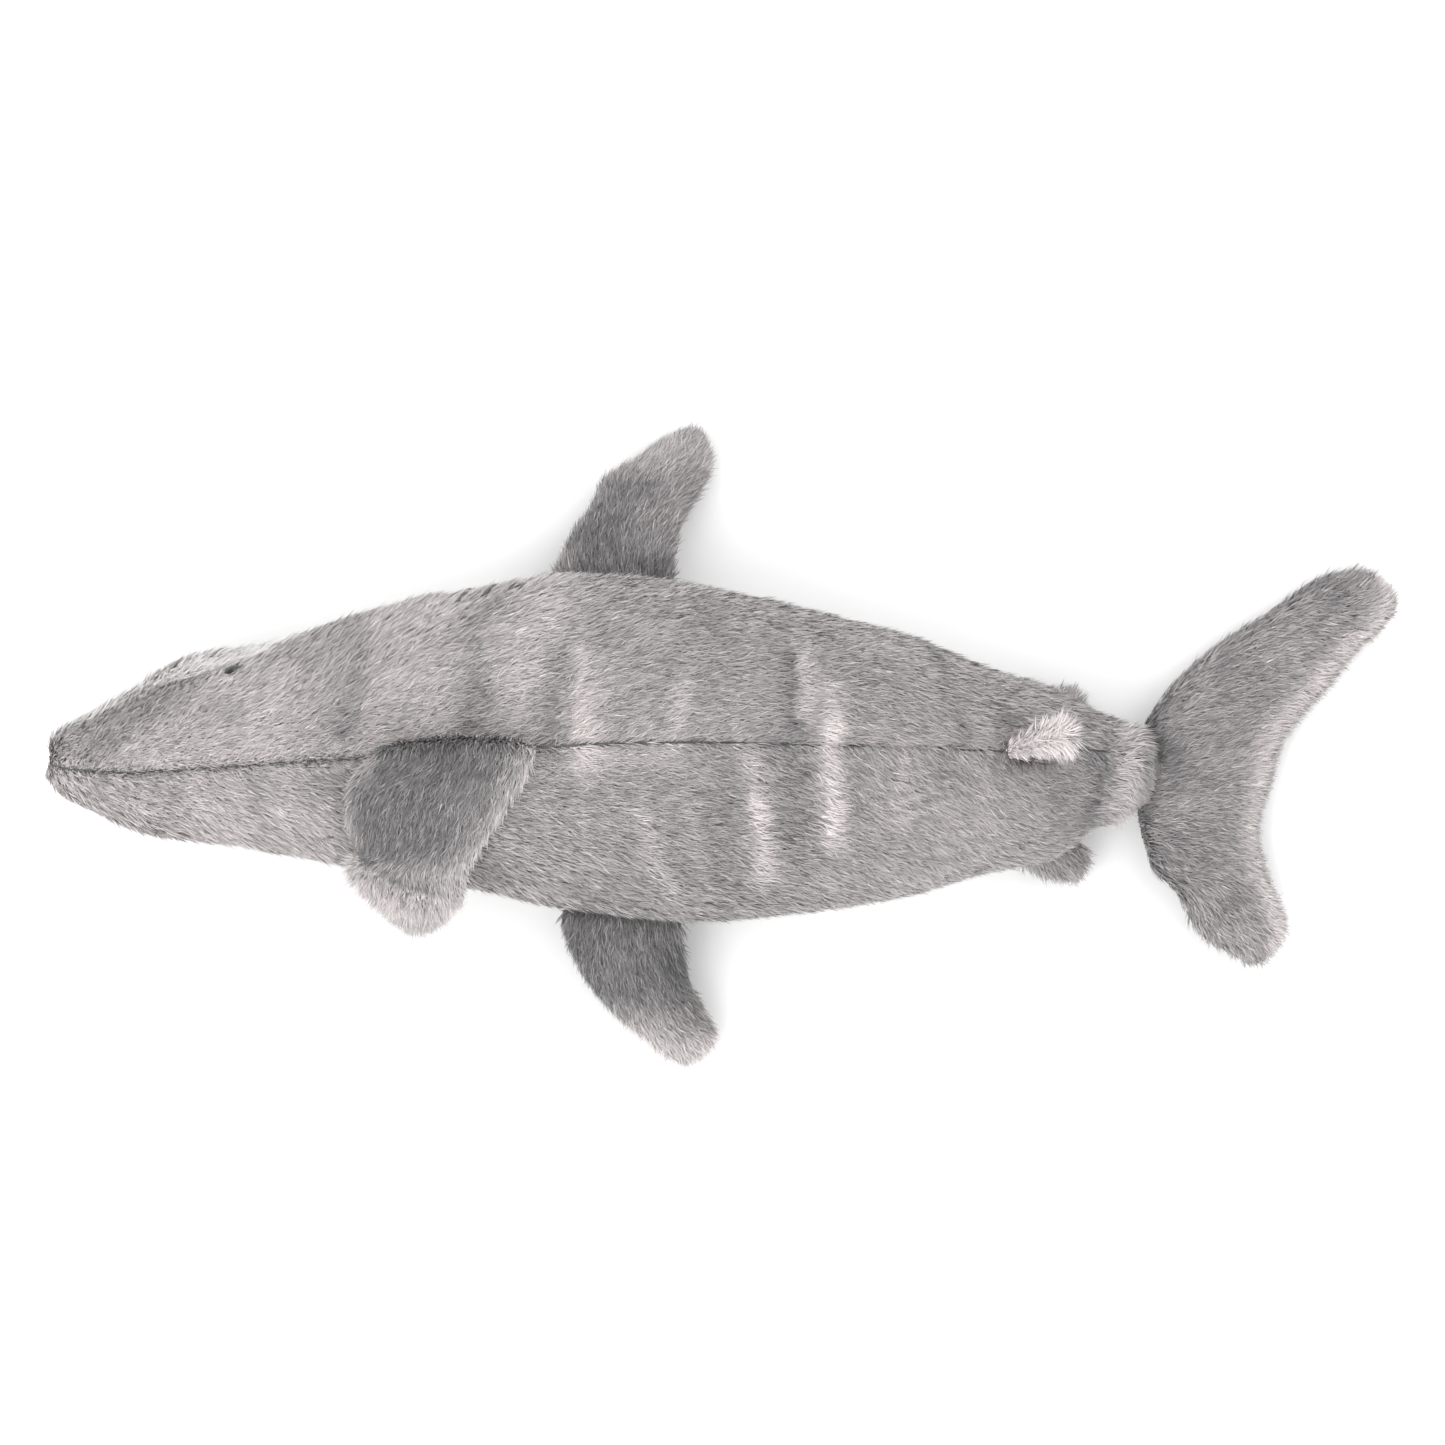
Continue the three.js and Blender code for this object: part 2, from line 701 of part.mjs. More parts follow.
function fin(name) {
  const spec = FINS[name];
  const group = new THREE.Group();
  group.position.set(...spec.at);
  group.rotation.set(...spec.turn.map(radians), 'ZYX');
  addMesh(group, `${name}_${spec.panels[0]}`, finPanelGeometry(spec, 1), GREY_PLUSH);
  addMesh(group, `${name}_${spec.panels[1]}`, finPanelGeometry(spec, -1), GREY_PLUSH);
  addMesh(group, `${name}_filling`, finFillingGeometry(spec), FILLING);
  return group;
}

function tailFin() {
  const group = new THREE.Group();
  group.position.copy(TAIL_PIVOT);
  addMesh(group, 'tail_fin_left_panel', tailPanelGeometry(1), GREY_PLUSH);
  addMesh(group, 'tail_fin_right_panel', tailPanelGeometry(-1), GREY_PLUSH);
  addMesh(group, 'tail_fin_filling', tailFillingGeometry(), FILLING);
  return group;
}

function embroidery() {
  const group = new THREE.Group();
  for (const side of ['right', 'left']) {
    ['front', 'middle', 'rear'].forEach((name, order) => {
      addMesh(group, `gill_stitch_${side}_${name}`, stitchGeometry(gillPath(side, order), GILL.steps), THREAD);
    });
  }
  addMesh(group, 'mouth_stitch', stitchGeometry(mouthPath, MOUTH.steps), THREAD);
  return group;
}

function plushShark() {
  const shark = new THREE.Group();
  for (const name of ['head', 'trunk', 'tail_stalk']) shark.add(bodyLength(name));
  shark.add(collar(), tailFin(), embroidery());
  for (const name of Object.keys(FINS)) shark.add(fin(name));
  return shark;
}

export default plushShark();
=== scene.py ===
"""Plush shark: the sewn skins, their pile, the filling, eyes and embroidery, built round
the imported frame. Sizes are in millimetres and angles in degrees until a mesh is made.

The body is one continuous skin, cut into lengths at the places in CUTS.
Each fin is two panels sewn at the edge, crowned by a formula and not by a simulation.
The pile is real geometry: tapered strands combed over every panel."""

import math

import bmesh
import bpy
import numpy as np
from mathutils import Euler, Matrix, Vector


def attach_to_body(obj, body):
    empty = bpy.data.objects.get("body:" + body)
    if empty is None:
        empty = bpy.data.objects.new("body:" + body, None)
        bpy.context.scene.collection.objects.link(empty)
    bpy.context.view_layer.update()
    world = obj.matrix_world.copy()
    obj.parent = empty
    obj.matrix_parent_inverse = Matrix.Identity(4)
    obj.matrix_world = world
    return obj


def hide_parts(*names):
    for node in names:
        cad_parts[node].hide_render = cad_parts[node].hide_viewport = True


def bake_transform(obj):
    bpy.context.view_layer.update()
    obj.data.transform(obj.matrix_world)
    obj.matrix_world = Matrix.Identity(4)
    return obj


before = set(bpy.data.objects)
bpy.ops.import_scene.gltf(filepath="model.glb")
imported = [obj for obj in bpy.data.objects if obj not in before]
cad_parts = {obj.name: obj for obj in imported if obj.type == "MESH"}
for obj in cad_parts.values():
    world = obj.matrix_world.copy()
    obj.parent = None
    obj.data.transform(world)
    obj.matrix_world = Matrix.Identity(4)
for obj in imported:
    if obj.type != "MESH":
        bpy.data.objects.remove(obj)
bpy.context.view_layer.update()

# ------------------------------------------------------------- driving dimensions

MM = 0.001
PLUSH = 1.2  # thickness of the plush backing
INSET = 2.5  # backing below the outline of the pile
FILL_INSET = 2.2  # filling below the backing
FLOOR_LIFT = 0.7  # backing above the floor where the belly is pressed flat

# Outline of the pile along the body: x, centre line, half width, underside, top.
BODY = [
    (-261.8, -4.8, 2, 25, 28),
    (-261.2, -5.2, 7, 20, 35),
    (-259.2, -5.6, 11, 15, 40),
    (-255.4, -6, 14.2, 11.5, 45),
    (-249, -6.2, 17.4, 9, 50.5),
    (-228, -5.3, 27.4, 3, 64),
    (-204, -2.2, 36.8, -2, 76),
    (-180, -1.2, 40, -5, 85),
    (-140, 2, 49.5, -6, 97),
    (-100, 3.5, 59, -6, 106),
    (-52, 1.3, 67.4, -6, 113),
    (-4, -2.4, 67.2, -6, 113),
    (40, -5.6, 61, -6, 106),
    (82, -7.8, 52.5, -6, 94),
    (112, -10, 42, -3, 79),
    (142, -10.4, 33.5, 1, 64),
    (160, -9.8, 22.8, 3, 50),
    (176, -10, 16.2, 5, 38),
    (190, -10, 10, 12, 27),
    (204, -10, 5, 15, 22),
]

# Roll of the dorsal seam away from the top, and height of the side seam above the
# widest line of the body.
ROLL = [
    (-260, 16), (-180, 10.5), (-132, 9), (-60, 2), (0, -3.5),
    (76, -8.5), (142, -17.5), (176, -30), (204, -60),
]
SIDE_SEAM = [
    (-260, 4), (-228, 2), (-204, 19), (-190, 13), (-176, 4), (-160, -2), (-120, -15),
    (-60, -25), (100, -25), (176, -20), (204, -20),
]

NECK_BEND = (-168, -94)  # x range of the neck, given as the front length's bend
WAIST_BEND = (44, 116)  # x range of the waist, given as the rear length's bend
STALK_TWIST = (150, 173)  # x range of the stalk's twist, given as the peduncle's bend
TAIL_BEND = (175, 196)  # x range of the tail's root, given as the tail root's bend
CUTS = (-261.7, -32, 122, 172.5, 196)  # ends of the lengths of skin

# Fins, measured as in the frame: along the root, then out from it.
FINS = {
    "dorsal_fin": {
        "at": (-131, -4, 105.5),
        "turn": (0, -10, 2),
        "side": -1,
        "swell": 6.5,
        "root": 4.2,
        "bend": 31,
        "bend_power": 2.4,
        "panels": ("right_panel", "left_panel"),
        "leading": [(1, 0), (-8, 12), (-10, 24), (-8, 38), (-12, 46), (-5, 58), (3, 67), (9, 71)],
        "trailing": [(70, 0), (64, 12), (56, 24), (46, 36), (38, 48), (33, 60), (23, 67.5), (15, 71)],
    },
    "second_dorsal_fin": {
        "at": (119, -2, 77),
        "turn": (74, 21, 0),
        "side": 1,
        "swell": 3,
        "root": 2.4,
        "bend": 0,
        "bend_power": 2,
        "panels": ("left_panel", "right_panel"),
        "leading": [(0, 0), (4, 9), (9, 18), (15, 24)],
        "trailing": [(27, 0), (26, 8), (26, 17), (22, 24)],
    },
    "pectoral_fin_right": {
        "at": (-60, 69, 30),
        "turn": (-18, 0, -3.5),
        "side": 1,
        "swell": 6,
        "root": 4.5,
        "bend": 3,
        "bend_power": 2,
        "panels": ("top_panel", "bottom_panel"),
        "leading": [(0, 0), (5, 15), (12, 28), (17.5, 42), (28.5, 52), (40, 62), (49, 67)],
        "trailing": [(50.5, 0), (50.5, 14), (53, 28), (59, 42), (62.5, 52), (61, 61), (57, 66.5)],
    },
    "pectoral_fin_left": {
        "at": (-60, -67.5, 30),
        "turn": (18, 0, -3.5),
        "side": -1,
        "swell": 6,
        "root": 4.5,
        "bend": 3,
        "bend_power": 2,
        "panels": ("top_panel", "bottom_panel"),
        "leading": [(2.5, 0), (7, 14), (14.5, 28), (24.5, 40), (36, 50.5), (45.5, 59), (53, 61.5)],
        "trailing": [(54, 0), (55.5, 14), (58.5, 28), (65.5, 42), (69.5, 50), (67.5, 57), (61, 61.5)],
    },
    "pelvic_fin_right": {
        "at": (127, 14.4, 9.4),
        "turn": (-12, 0, -13),
        "side": 1,
        "swell": 1.6,
        "root": 1.2,
        "bend": 0,
        "bend_power": 2,
        "panels": ("top_panel", "bottom_panel"),
        "leading": [(0, 0), (4, 5), (11, 10), (18, 13)],
        "trailing": [(28, 0), (28, 5), (27, 10), (23, 13)],
    },
    "pelvic_fin_left": {
        "at": (127, -45.5, 18),
        "turn": (25, 0, 13),
        "side": -1,
        "swell": 2.4,
        "root": 2,
        "bend": 0,
        "bend_power": 2,
        "panels": ("top_panel", "bottom_panel"),
        "leading": [(0, 0), (4, 6), (11, 12), (18, 15)],
        "trailing": [(28, 0), (29, 6), (28, 12), (24, 15)],
    },
}
FIN_EDGE = 2.6  # pile standing out past a fin's sewn edge
FIN_SEAM = 1.2  # half thickness of the sheets beside the sewn edge

TAIL_PIVOT = (184, -10, 20)
TAIL_SWELL = 8.6
TAIL_DROP = 7.5
TAIL_REACH = 81  # length of its longer lobe
TAIL_DROP_LENGTH = 46
TAIL_EDGE = {"leading": 2.2, "trailing": 1.0}  # pile standing out past the sewn edge
TAIL_LEADING = [
    (34, -78), (16.5, -67), (6.5, -50.5), (-2.5, -42.5), (-6.2, -32), (-9, -20), (-9, 0),
    (-6, 18), (5, 34), (24, 51), (46, 66), (61, 77), (77, 82),
]
TAIL_TRAILING = [
    (44, -79), (51.5, -65), (45, -46), (40.5, -30), (41, -20), (43, -12), (46, -3),
    (51.5, 15), (68.5, 35), (80, 50), (92.5, 62), (96, 71), (88, 80),
]

EYE = {"x": -186, "right": 33, "left": 170, "radius": 4, "dome": 2.8, "stem": 1.6, "stem_length": 9}
EYE_SINK = 1.1  # how far its stem pulls the eye into the plush
EYE_TRIM = {"right": 2.8, "left": 1.6}  # how widely the pile is trimmed round each
WASHER = {"radius": 5.5, "thick": 1.4, "depth": 2.6, "bore": 1.85}
STITCH = {"width": 2.6, "lift": 0.4, "thick": 1.0}
GILL = {"front": -96, "pitch": 10, "low": -30, "high": 17, "lean": 4}
GILL_TOPS = {"right": 2, "left": 1}  # the stitch whose top end shows through the pile
MOUTH = {"x": -231, "half": 68, "sweep": 13}

PILE_LENGTH = 6.4
STRAND_WIDTH = 0.44
BACK_DENSITY = 3.3  # strands to a square millimetre
BELLY_DENSITY = 1.2
CHEEK_DENSITY = 2.04  # the belly panel's front length, which is seen at the cheek
PIECE_STRANDS = 60000  # the most strands kept in one mesh
SPECK = 0.16  # how much the colour varies along a strand

SEED = 11
FIRST_FIN_SEED = 41
TUFT_SEED = 90

# A skin's share of a fin's thickness, and how full the padding is.
FIN_BUILD = (0.3, 0.5)
TAIL_BUILD = (0.25, 0.6)


# ------------------------------------------------------------------ camera and light

def camera_and_lights():
    camera = bpy.data.cameras.new("camera")
    camera.sensor_width = 36
    camera.lens = 183.7
    camera.clip_end = 50
    eye = bpy.data.objects.new("camera", camera)
    eye.location = (0.009, 0.009, 3.0)
    bpy.context.scene.collection.objects.link(eye)
    bpy.context.scene.camera = eye

    world = bpy.data.worlds.new("studio")
    bpy.context.scene.world = world
    world.use_nodes = True
    world.node_tree.nodes["Background"].inputs["Color"].default_value = (1, 1, 1, 1)
    world.node_tree.nodes["Background"].inputs["Strength"].default_value = 0.95

    for name, place, size, power in (
        ("key", (-0.9, -0.9, 1.9), 1.3, 16),
        ("fill", (1.1, 1.0, 1.7), 1.6, 10),
        ("top", (0.0, 0.1, 2.4), 1.8, 10),
        ("left", (0.0, -1.5, 0.55), 1.2, 9),
        ("right", (0.0, 1.5, 0.55), 1.2, 9),
    ):
        light = bpy.data.lights.new(name, "AREA")
        light.shape = "SQUARE"
        light.size = size
        light.energy = power
        lamp = bpy.data.objects.new(name, light)
        lamp.location = place
        lamp.rotation_euler = (Vector((0, 0, 0.03)) - Vector(place)).to_track_quat("-Z", "Y").to_euler()
        bpy.context.scene.collection.objects.link(lamp)

    bpy.context.scene.view_settings.view_transform = "Standard"
    floor = mesh_object("floor", *plate(2.5))
    floor.data.materials.append(floor_material())


def plate(half):
    corners = np.array([(-half, -half, 0), (half, -half, 0), (half, half, 0), (-half, half, 0)]) / MM
    return corners, [(0, 1, 2, 3)]


# ------------------------------------------------------------------------- materials

def new_material(name, values):
    """A principled material with uniform values on some of its sockets."""
    material = bpy.data.materials.new(name)
    material.use_nodes = True
    nodes, links = material.node_tree.nodes, material.node_tree.links
    shader = nodes["Principled BSDF"]
    for socket, value in values.items():
        shader.inputs[socket].default_value = value
    return material, nodes, links, shader


def ramp(nodes, stops):
    node = nodes.new("ShaderNodeValToRGB")
    elements = node.color_ramp.elements
    while len(elements) < len(stops):
        elements.new(0.5)
    for element, (place, color) in zip(elements, stops):
        element.position = place
        element.color = (*color, 1)
    return node


def texture(nodes, links, kind, settings):
    """A procedural texture laid out in the piece's own coordinates."""
    place = nodes.new("ShaderNodeTexCoord")
    pattern = nodes.new(kind)
    for socket, value in settings.items():
        pattern.inputs[socket].default_value = value
    links.new(place.outputs["Object"], pattern.inputs["Vector"])
    return pattern


def textured_material(name, kind, settings, stops, values, relief=None):
    """A material coloured by one texture, which may raise its surface too."""
    material, nodes, links, shader = new_material(name, values)
    pattern = texture(nodes, links, kind, settings)
    colors = ramp(nodes, stops)
    links.new(pattern.outputs["Fac"], colors.inputs["Fac"])
    links.new(colors.outputs["Color"], shader.inputs["Base Color"])
    if relief:
        raised = nodes.new("ShaderNodeBump")
        raised.inputs["Strength"].default_value, raised.inputs["Distance"].default_value = relief
        links.new(pattern.outputs["Fac"], raised.inputs["Height"])
        links.new(raised.outputs["Normal"], shader.inputs["Normal"])
    return material


def floor_material():
    paper = {"Base Color": (0.93, 0.93, 0.93, 1), "Roughness": 0.9, "Specular IOR Level": 0.1}
    return new_material("floor_paper", paper)[0]


def pile_material(name, stops):
    """Silky fibre: each strand carries its own tone, and a fine noise varies it."""
    gloss = {"Roughness": 0.62, "Specular IOR Level": 0.35, "Sheen Weight": 0.25, "Sheen Roughness": 0.4}
    material, nodes, links, shader = new_material(name, gloss)
    tone = nodes.new("ShaderNodeAttribute")
    tone.attribute_name = "tone"
    speck = texture(nodes, links, "ShaderNodeTexNoise", {"Scale": 900, "Detail": 2})
    vary = nodes.new("ShaderNodeMath")
    vary.operation = "MULTIPLY_ADD"
    vary.inputs[1].default_value = SPECK
    links.new(speck.outputs["Fac"], vary.inputs[0])
    links.new(tone.outputs["Fac"], vary.inputs[2])
    shift = nodes.new("ShaderNodeMath")
    shift.operation = "SUBTRACT"
    shift.inputs[1].default_value = SPECK / 2
    links.new(vary.outputs[0], shift.inputs[0])
    colors = ramp(nodes, stops)
    links.new(shift.outputs[0], colors.inputs["Fac"])
    links.new(colors.outputs["Color"], shader.inputs["Base Color"])
    return material


def backing_material(name, dark, light):
    """Knitted backing that shows between the roots of the pile."""
    knit = {"Scale": 420, "Distortion": 3, "Detail": 2}
    stops = [(0.2, dark), (0.8, light)]
    return textured_material(name, "ShaderNodeTexWave", knit, stops, {"Roughness": 0.95}, (0.3, 0.0004))


def filling_material():
    fibre = {"Scale": 160, "Detail": 6, "Distortion": 2}
    stops = [(0.3, (0.66, 0.66, 0.64)), (0.7, (0.9, 0.9, 0.88))]
    return textured_material("polyester_fibre", "ShaderNodeTexNoise", fibre, stops, {"Roughness": 1.0})


def plastic_material(name, dark, light, roughness, coat):
    """Moulded plastic with the faint mottle of a pigmented batch."""
    gloss = {"Roughness": roughness, "Coat Weight": coat, "Coat Roughness": 0.03}
    stops = [(0.35, dark), (0.65, light)]
    return textured_material(name, "ShaderNodeTexNoise", {"Scale": 240}, stops, gloss)


def thread_material(name, dark, light):
    """Twisted embroidery thread."""
    twist = {"Scale": 900, "Distortion": 1.5}
    gloss = {"Roughness": 0.5, "Sheen Weight": 0.3}
    return textured_material(name, "ShaderNodeTexWave", twist, [(0.2, dark), (0.9, light)], gloss)


# -------------------------------------------------------------------------- numbers

def curve_through(table):
    """The smooth curve through rows of x and values that the frame is drawn with."""
    rows = np.array(table, float)
    xs, values = rows[:, 0], rows[:, 1:]
    last = len(xs) - 1

    def at(x):
        x = np.asarray(x, float)
        k = np.clip(np.searchsorted(xs, x, side="right"), 1, last)
        t0, t1 = xs[k - 1], xs[k]
        opens, closes = k == 1, k == last
        before = np.where(opens, k, k - 2)
        after = np.where(closes, k - 1, np.minimum(k + 1, last))
        t_before = np.where(opens, 2 * t0 - t1, xs[np.maximum(k - 2, 0)])
        t_after = np.where(closes, 2 * t1 - t0, xs[np.minimum(k + 1, last)])
        w0 = ((t1 - t0) / 2 / (t0 - t_before))[..., None]
        w1 = ((t1 - t0) / 2 / (t_after - t1))[..., None]
        p = np.clip((x - t0) / (t1 - t0), 0, 1)[..., None]
        p2, p3 = p * p, p ** 3
        return (
            (-w0 * p3 + 2 * w0 * p2 - w0 * p) * values[before]
            + ((1 + w0) * p3 + (-1.5 - 2 * w0) * p2 + (-0.5 + w0) * p + 1) * values[k - 1]
            + ((-1 - w1) * p3 + (1.5 + w1) * p2 + 0.5 * p) * values[k]
            + (w1 * p3 - w1 * p2) * values[after]
        )

    return at


outline = curve_through(BODY)
roll_curve = curve_through(ROLL)
side_curve = curve_through(SIDE_SEAM)


def spline(points, t):
    """Evenly numbered smooth curve through points, as in the frame."""
    pts = np.array(points, float)
    last = len(pts) - 1
    p = np.asarray(t, float) * last
    k = np.clip(np.floor(p).astype(int), 0, last - 1)
    w = (p - k)[..., None]
    p0, p1, p2, p3 = (pts[np.clip(k + step, 0, last)] for step in (-1, 0, 1, 2))
    v0, v1 = (p2 - p0) / 2, (p3 - p1) / 2
    return (2 * p1 - 2 * p2 + v0 + v1) * w ** 3 + (-3 * p1 + 3 * p2 - 2 * v0 - v1) * w ** 2 + v0 * w + p1


def unit(v):
    return v / np.maximum(np.linalg.norm(v, axis=-1, keepdims=True), 1e-9)


def smooth_step(low, high, x):
    t = np.clip((x - low) / (high - low), 0, 1)
    return t * t * (3 - 2 * t)


def crowded(v, share):
    """Steps from 0 to 1 drawn towards both ends."""
    return (1 - share) * v + share * (0.5 - 0.5 * np.cos(np.pi * v))


def bump(x, width):
    return np.exp(-((x / width) ** 2))


def noise(points, scale, seed):
    """Smooth random field between -1 and 1 with features about scale wide."""
    q = points / scale + np.array([0.137, 0.523, 0.911]) * (seed + 1)
    cell = np.floor(q).astype(np.int64)
    f = q - cell
    f = f * f * (3 - 2 * f)
    total = np.zeros(points.shape[:-1])
    for corner in range(8):
        step = np.array([corner & 1, corner >> 1 & 1, corner >> 2 & 1])
        c = cell + step
        h = (c[..., 0] * 73856093) ^ (c[..., 1] * 19349663) ^ (c[..., 2] * 83492791) ^ (seed * 2654435761)
        h = (h ^ (h >> 13)) * 1274126177 & 0xFFFFFFFF
        value = ((h ^ (h >> 16)) & 0xFFFF) / 32767.5 - 1
        weight = np.prod(np.where(step, f, 1 - f), axis=-1)
        total += value * weight
    return total


# ---------------------------------------------------------------------- mesh helpers

def mesh_object(name, points, faces):
    mesh = bpy.data.meshes.new(name)
    mesh.from_pydata((np.asarray(points) * MM).tolist(), [], faces)
    mesh.update()
    thing = bpy.data.objects.new(name, mesh)
    bpy.context.scene.collection.objects.link(thing)
    return thing


def grid_quads(rows, columns, start=0, flip=False):
    i, j = np.meshgrid(np.arange(rows - 1), np.arange(columns - 1), indexing="ij")
    a = start + (i * columns + j).ravel()
    quads = np.stack([a, a + columns, a + columns + 1, a + 1], axis=1)
    return quads[:, ::-1] if flip else quads


def strip(outer, inner):
    return np.stack([outer[:-1], outer[1:], inner[1:], inner[:-1]], axis=1)


def slab_mesh(name, outer, inner):
    """Closed shell between two grids of the same size."""
    rows, columns = outer.shape[:2]
    size = rows * columns
    points = np.concatenate([outer.reshape(-1, 3), inner.reshape(-1, 3)])
    order = np.arange(size).reshape(rows, columns)
    quads = [grid_quads(rows, columns), grid_quads(rows, columns, size, True)]
    quads.append(strip(order[:, 0][::-1], order[:, 0][::-1] + size))
    quads.append(strip(order[:, -1], order[:, -1] + size))
    quads.append(strip(order[0], order[0] + size))
    quads.append(strip(order[-1][::-1], order[-1][::-1] + size))
    faces = np.concatenate(quads)
    if signed_volume(points, faces) < 0:
        faces = faces[:, ::-1]
    thing = mesh_object(name, points, faces.tolist())
    thing.data.shade_smooth()
    add_bake_uv(thing.data, np.concatenate([grid_uv(rows, columns, 0), grid_uv(rows, columns, 0.5)]))
    return thing


def signed_volume(points, faces):
    a, b, c, d = (points[faces[:, k]] for k in range(4))
    return np.sum(a * np.cross(b, c)) + np.sum(a * np.cross(c, d))


def grid_uv(rows, columns, shift):
    u, v = np.meshgrid(np.linspace(0.005, 0.495, rows), np.linspace(0.005, 0.99, columns), indexing="ij")
    return np.stack([u.ravel() + shift, v.ravel()], axis=1)


def add_bake_uv(mesh, per_point):
    layer = mesh.uv_layers.new(name="OFBake")
    loops = np.empty(len(mesh.loops), np.int32)
    mesh.loops.foreach_get("vertex_index", loops)
    layer.data.foreach_set("uv", per_point[loops].astype(np.float32).ravel())


def normals_of(grid, outward):
    along = np.gradient(grid, axis=0)
    across = np.gradient(grid, axis=1)
    n = unit(np.cross(along, across))
    flip = np.sum(n * outward, axis=-1, keepdims=True).mean() < 0
    return -n if flip else n


# ------------------------------------------------------------------- the body's skin

def section(x):
    y, half, low, high = np.moveaxis(outline(x), -1, 0)
    return y, half, (low + high) / 2, (high - low) / 2


def body_point(x, angle, inset=INSET):
    y, half, z, tall = section(x)
    py = y + np.maximum(half - inset, 1.5) * np.cos(np.radians(angle))
    pz = z + np.maximum(tall - inset, 1.5) * np.sin(np.radians(angle))
    floor = FLOOR_LIFT + max(inset - INSET, 0)
    soft = 1.2
    pz = floor + (pz - floor + np.sqrt((pz - floor) ** 2 + soft ** 2)) / 2
    return np.stack([x + 0 * py, py, pz], axis=-1)


def seam_angles(x):
    roll = roll_curve(x)[..., 0]
    rise = side_curve(x)[..., 0]
    return 90 + roll, rise + roll, 180 - rise + roll


def panel_edges(panel, x):
    dorsal, right, left = seam_angles(x)
    return {
        "back_panel_right": (right, dorsal),
        "back_panel_left": (dorsal, left),
        "belly_panel": (left, right + 360),
    }[panel]


# Marks in the pile of the back, where it was brushed, pressed or folded, with painted light and shade:
# each a line from one (x, y) to another, its half width, and how much lighter (painted highlight on a
# ridge) or darker (painted shade in a fold or crease) it looks.
NAP_FOLD_LIGHT_AND_SHADE_MARKS = [
    ((-190, 13), (-184, 11), 6, -0.12),
    ((-139, 4), (-138, 12), 5, -0.18),
    ((-135, 16), (-134, 40), 2.5, -0.04),
    ((-175, -14), (-174, -36), 4, -0.15),
    ((-162, -37), (-158, -36), 4, -0.1),
    ((-214, -18), (-206, -17), 3, -0.1),
    ((-90, 2), (-89, 22), 7, -0.17),
    ((-89, 24), (-88, 38), 4, -0.07),
    ((-96, 42), (-74, 57), 3.4, -0.14),
    ((-58, 2), (-56, 32), 6.5, -0.18),
    ((-46, -8), (-46, 34), 4.5, 0.24),
    ((-40, 0), (-37, 26), 4, 0.1),
    ((-8, 0), (-6, 24), 3.5, 0.18),
    ((-44, -5), (-6, -5), 5, 0.1),
    ((-24, -24), (-12, -58), 3.5, 0.16),
    ((-5, -20), (2, -60), 2.5, 0.06),
    ((9, -6), (8, -56), 7, -0.08),
    ((20, -3), (21, -22), 4, 0.14),
    ((23, -22), (26, -50), 4.2, 0.36),
    ((37, -4), (38, -46), 6.5, -0.1),
    ((36, 34), (37, 6), 3.2, -0.24),
    ((40, 38), (41, 12), 4, 0.24),
    ((50, 24), (53, 6), 4, 0.22),
    ((52, 6), (53, -36), 4.6, 0.4),
    ((63, -4), (62, -26), 5, -0.06),
    ((80, 0), (80, -30), 4, 0.1),
    ((92, 38), (106, 4), 3, -0.16),
    ((98, -6), (98, -12), 5, -0.08),
    ((121, 12), (124, 9), 5, -0.2),
    ((150, -2), (144, -34), 9, -0.08),
    ((161, -5), (155, -32), 4, -0.2),
    # on the fins
    ((-112, -30), (-96, -36), 12, -0.06),
    ((-120, -6), (-84, -8), 5, 0.06),
    ((181, 4), (183, -4), 4, -0.2),
    ((179, -9), (174, -22), 3.5, -0.2),
    ((-46, 78), (-38, 82), 7, -0.2),
    ((-44, 70), (-14, 69), 4, -0.14),
    ((-36, 98), (-20, 103), 5, -0.12),
    ((-20, 80), (-14, 92), 6, 0.06),
    ((-14, -84), (-6, -90), 6, -0.1),
    ((-32, -82), (-30, -90), 5, 0.06),
    ((256, 60), (250, 62), 9, -0.12),
    ((210, -60), (213, -63), 4, -0.08),
    ((196, -40), (190, -44), 6, -0.06),
]
TIP_REACH = 3.6  # how far from its root the visible end of a strand lies
HEAD_SHADE = ((-178, 34), (-232, -8))  # ahead of this line the right cheek is painted darker, as shade on the flank turned from the light
FOLD = [(176, 6), (172.5, -4), (170, -12), (167, -19), (163.5, -27)]
FIN_CREASE = [(-137, -36), (-131.5, -47), (-121, -55), (-107, -59)]
TIP_STEP = 2.6  # how far the dorsal fin's tip drops at its crease


def line_distance(points, line):
    """Distance from a line seen from above, and which side of it each point is."""
    best = np.full(points.shape[:-1], 1e9)
    side = np.zeros(points.shape[:-1])
    flat = points[..., :2]
    corners = np.array(line, float)
    for a, b in zip(corners[:-1], corners[1:]):
        run = b - a
        t = np.clip(((flat - a) @ run) / (run @ run), 0, 1)
        gap = flat - a - t[..., None] * run
        distance = np.linalg.norm(gap, axis=-1)
        turn = run[0] * (flat[..., 1] - a[1]) - run[1] * (flat[..., 0] - a[0])
        side = np.where(distance < best, np.sign(turn), side)
        best = np.minimum(best, distance)
    return best, side


# Painted light and shade: lighter on fold ridges, darker in folds and creases; the same field also lifts
# the folds.
def nap_fold_light_and_shade(points):
    wave = np.zeros(points.shape)
    wave[..., 0] = 1.2 * noise(points, 14, 5) + 0.9 * noise(points, 5, 6)
    field = np.zeros(points.shape[:-1])
    for start, end, half, strength in NAP_FOLD_LIGHT_AND_SHADE_MARKS:
        distance, _ = line_distance(points + wave, (start, end))
        field += strength * bump(distance, half)
    return field


